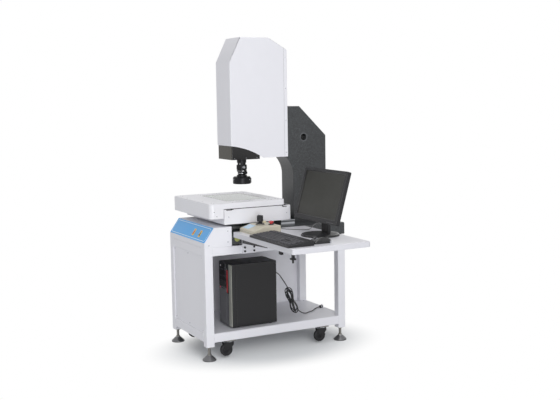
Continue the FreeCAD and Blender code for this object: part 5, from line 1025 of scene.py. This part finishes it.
class MACHINE_OT_computer(MachineStep, bpy.types.Operator):
    """Dress the tower computer on the shelf"""
    bl_idname = "machine.computer"
    bl_label = "Computer"

    def execute(self, context):
        dress("pc_case", "black_sheet", 1.0)
        dress("pc_front", "black_plastic", 1.5)
        dress("pc_power_button", "black_gloss", 1.0)
        self.front()
        self.rear()
        return {"FINISHED"}

    def front(self):
        """The front's dark upper panel with its drive doors, the grey lower one, and the strips."""
        put("pc_upper", block((40, -281.4, 394), (140, -279.5, 537), 0.8), "black_gloss")
        doors = blocks([((44, -282.2, 500), (116, -281, 533)), ((44, -282.2, 460), (138, -281, 494)),
                        ((44, -282.2, 432), (138, -281, 452))], 0.8, 2)
        blocks([((126, -282.8, 474), (134, -282, 478)), ((48, -282.8, 438), (74, -282, 441)),
                ((80, -282.8, 437), (92, -282, 444))], 0.3, bm=doors)
        put("drive_doors", doors, "black_plastic")
        # the lower front and its ribs: real two-tone grey, lightened with painted light
        ribs = [((44 + 12 * number, -282.0, 176), (53 + 12 * number, -280.6, 372)) for number in range(8)]
        put("pc_lower", blocks([((40, -281.2, 168), (141, -279.5, 390))] + ribs, 0.8, 2), "pc_grey_painted_light")
        put("red_strip", block((143, -281.8, 364), (162, -279.5, 500), 1.5, 3), "red_gloss")
        gap = block((163, -280.6, 362), (176, -279.8, 502), 0.2, 1)
        put("strip_slot", gap, "shadow_gap")
        # the strip's lower part in the same grey with painted light
        put("strip_lower", block((143, -281.2, 168), (176, -279.5, 360), 0.8), "pc_grey_painted_light")
        put("silver_strip", block((178, -283.2, 167), (218, -279.5, 538), 1.8, 3), "pc_silver")
        badge = lathe([(0, 1.1), (5.2, 1.0), (6.2, 0.4), (6.4, -0.2)], (66, -282.2, 517), "-Y", 28)
        put("front_badge", badge, "white_print")
        dot = lathe([(0, 1.2), (3.6, 0.9), (4.4, 0), (4.4, -0.4)], (56, -281.2, 383), "-Y", 24)
        put("power_light_dot", dot, "power_light")
        ring = lathe([(9.4, -0.2), (9.4, 1.4), (10.6, 1.6), (11.6, 1.2), (11.8, -0.2)], (128.5, -280, 504),
                     "-Y", 40)
        put("button_ring", ring, "satin_aluminium")
        sockets = blocks([((x, -281.9, 381), (x + 12, -281.0, 386)) for x in (60, 80, 100)], 0.3)
        put("front_sockets", sockets, "shadow_gap")

    def rear(self):
        """The rear: supply grille, socket panel, slot covers and thumb screws, with the plug."""
        rings = bmesh.new()
        for radius in (12, 22, 32, 42, 52):
            lathe([(radius, -0.2), (radius + 0.4, 1.2), (radius + 2.0, 1.2), (radius + 2.4, -0.2)],
                  (78, 14, 488), "Y", 40, rings)
        blocks([((24, 14, 486.8), (132, 15.6, 489.2)), ((76.8, 14, 434), (79.2, 15.6, 542))], 0.2, bm=rings)
        put("fan_grille", rings, "satin_aluminium")
        hole = lathe([(0, 0.15), (55, 0.15), (55.4, -0.1)], (93, 14, 486), "Y", 48)
        put("fan_hole", hole, "shadow_gap")
        panel = block((48, 13.8, 300), (88, 15.2, 420), 0.4, 1)
        blocks([((100, 13.8, z), (206, 15.0, z + 12)) for z in range(196, 282, 17)], 0.6, bm=panel)
        put("socket_panel", panel, "satin_aluminium")
        sockets = blocks([((52, 15, z), (66, 16.4, z + 14)) for z in range(304, 400, 19)]
                         + [((70, 15, z), (84, 16.4, z + 22)) for z in range(310, 395, 28)], 0.5)
        put("rear_sockets", sockets, "blue_label")
        heads = screws([(x, 14, z) for x in (210, 46) for z in (178, 352, 528)], "Y", 5.5, 5)
        put("thumb_screws", heads, "zinc_plate")
        plug = block((114, 12, 440), (142, 27, 464), 3, 3)
        lathe([(7, -0.5), (7, 2), (5.4, 4), (6.2, 6), (5.0, 8), (5.8, 10), (4.6, 12), (5.2, 14), (4.0, 16),
               (3.2, 16)], (128, 27, 452), "Y", 24, plug)
        put("rear_plug", plug, "black_plastic")
        edges = []
        for low, high in ((36.1, 37.0), (220.0, 220.9)):
            edges += [((low, -252, z), (high, 8, z + 2)) for z in (171, 532)]
            edges += [((low, y, 171), (high, y + 2, 534)) for y in (-252, 6)]
        put("case_edges", blocks(edges, 0.3), "black_gloss")


# Floor, lamps and camera

class MACHINE_OT_studio(MachineStep, bpy.types.Operator):
    """Set the pale floor, the soft lamps and the camera"""
    bl_idname = "machine.studio"
    bl_label = "Studio"

    def execute(self, context):
        self.camera(context.scene)
        self.floor(context.scene)
        self.lamps(context.scene)
        context.scene.view_settings.view_transform = "Standard"
        return {"FINISHED"}

    def camera(self, scene):
        """The photograph's camera: where it stood, and how it was held."""
        heading, pitch, roll = (math.radians(angle) for angle in (62.07, 6.455, -0.849))
        ahead = Vector((-math.sin(heading) * math.cos(pitch), math.cos(heading) * math.cos(pitch),
                        -math.sin(pitch)))
        level = Vector((math.cos(heading), math.sin(heading), 0))
        upright = level.cross(ahead)
        right = math.cos(roll) * level + math.sin(roll) * upright
        up = -math.sin(roll) * level + math.cos(roll) * upright
        data = bpy.data.cameras.new("Camera")
        data.sensor_width = 36
        data.lens = scene.machine_sizes.lens
        data.clip_end = 60
        camera = bpy.data.objects.new("Camera", data)
        camera.matrix_world = Matrix.Translation(spot(4963.2, -2467.6, 1509.9)) @ Matrix(
            (right, up, -ahead)).transposed().to_4x4()
        scene.collection.objects.link(camera)
        scene.camera = camera

    def floor(self, scene):
        """A pale floor that takes the object's shadow, and turns to the backdrop's
        white a little way out from the stand."""
        bm = bmesh.new()
        bmesh.ops.create_grid(bm, x_segments=1, y_segments=1, size=12)
        mesh = bpy.data.meshes.new("floor")
        bm.to_mesh(mesh)
        bm.free()
        material = blank_material("studio_floor")
        tree = material.node_tree
        paint = add_node(tree, "ShaderNodeBsdfDiffuse", {"Color": linear("#d9dbdd"), "Roughness": 0.9})
        white = add_node(tree, "ShaderNodeEmission", {"Color": linear("#ffffff"), "Strength": 1.0})
        place = add_node(tree, "ShaderNodeNewGeometry")
        around = add_node(tree, "ShaderNodeMapping", {"Location": (0.40, 0, 0), "Scale": (1.55, 1.1, 0)},
                          {"Vector": place.outputs["Position"]})
        away = add_node(tree, "ShaderNodeVectorMath", {"operation": "LENGTH"},
                        {0: around.outputs["Vector"]})
        fade = add_node(tree, "ShaderNodeMapRange", {"interpolation_type": "SMOOTHSTEP", "From Min": 0.42,
                                                     "From Max": 0.88}, {"Value": away.outputs["Value"]})
        seen = add_node(tree, "ShaderNodeMath", {"operation": "MULTIPLY"},
                        {0: fade.outputs["Result"], 1: self.straight_rays(tree)})
        mixed = add_node(tree, "ShaderNodeMixShader",
                         links={0: seen.outputs["Value"], 1: paint.outputs["BSDF"],
                                2: white.outputs["Emission"]})
        add_node(tree, "ShaderNodeOutputMaterial", links={"Surface": mixed.outputs["Shader"]})
        mesh.materials.append(material)
        floor = bpy.data.objects.new("floor", mesh)
        floor.location.z = -0.0005
        scene.collection.objects.link(floor)

    def straight_rays(self, tree):
        """1 for rays from the camera, and for those that gloss and glass send on."""
        path = add_node(tree, "ShaderNodeLightPath")
        clear = add_node(tree, "ShaderNodeMath", {"operation": "MAXIMUM"},
                         {0: path.outputs["Is Glossy Ray"], 1: path.outputs["Is Transmission Ray"]})
        return add_node(tree, "ShaderNodeMath", {"operation": "MAXIMUM"},
                        {0: path.outputs["Is Camera Ray"], 1: clear.outputs["Value"]}).outputs["Value"]

    def lamps(self, scene):
        """A broad key from the right, a fill from the front, a top lamp and a low one that
        reaches into the stand, in a pale room."""
        power = scene.machine_sizes.lamp_power
        for name, place, aim_height, size, share in (("key", (4200, -600, 2600), 800, 2.6, 1.14),
                                                     ("fill", (-400, -4200, 2400), 800, 2.6, 0.36),
                                                     ("top", (0, 300, 4600), 800, 3.0, 0.62),
                                                     ("low", (3800, -1300, 420), 380, 1.0, 0.7)):
            lamp = bpy.data.lights.new(name, "AREA")
            lamp.size = size
            lamp.energy = power * share
            thing = bpy.data.objects.new(name, lamp)
            thing.location = spot(*place)
            aim = spot(200, 0, aim_height) - thing.location
            thing.rotation_mode = "QUATERNION"
            thing.rotation_quaternion = aim.to_track_quat("-Z", "Y")
            scene.collection.objects.link(thing)
        world = bpy.data.worlds.new("pale_room")
        world.use_nodes = True
        tree = world.node_tree
        tree.nodes.clear()
        strength = add_node(tree, "ShaderNodeMapRange", {"To Min": scene.machine_sizes.room_light,
                                                         "To Max": 1.0},
                            {"Value": self.straight_rays(tree)})
        sky = add_node(tree, "ShaderNodeBackground", {"Color": linear("#ffffff")},
                       {"Strength": strength.outputs["Result"]})
        add_node(tree, "ShaderNodeOutputWorld", links={"Surface": sky.outputs["Background"]})
        scene.world = world


STEPS = (MACHINE_OT_studio, MACHINE_OT_cords, MACHINE_OT_stand, MACHINE_OT_granite, MACHINE_OT_covers,
         MACHINE_OT_slides, MACHINE_OT_optics, MACHINE_OT_table, MACHINE_OT_keyboard, MACHINE_OT_monitor,
         MACHINE_OT_computer)


class MACHINE_PT_panel(bpy.types.Panel):
    """Lists the machine's steps"""
    bl_idname = "MACHINE_PT_panel"
    bl_label = "Measuring machine"
    bl_space_type = "VIEW_3D"
    bl_region_type = "UI"
    bl_category = "Measuring machine"

    def draw(self, context):
        for name in ("edge", "lamp_power", "room_light", "lens"):
            self.layout.prop(context.scene.machine_sizes, name)
        for step in STEPS:
            self.layout.operator(step.bl_idname)


CLASSES = (MACHINE_PG_sizes, *STEPS, MACHINE_PT_panel)


def register():
    for kind in CLASSES:
        bpy.utils.register_class(kind)
    bpy.types.Scene.machine_sizes = bpy.props.PointerProperty(type=MACHINE_PG_sizes)


def unregister():
    del bpy.types.Scene.machine_sizes
    for kind in reversed(CLASSES):
        bpy.utils.unregister_class(kind)


def main():
    register()
    make_materials()
    for step in STEPS:
        group, name = step.bl_idname.split(".")
        getattr(getattr(bpy.ops, group), name)()


if __name__ == "__main__":
    main()
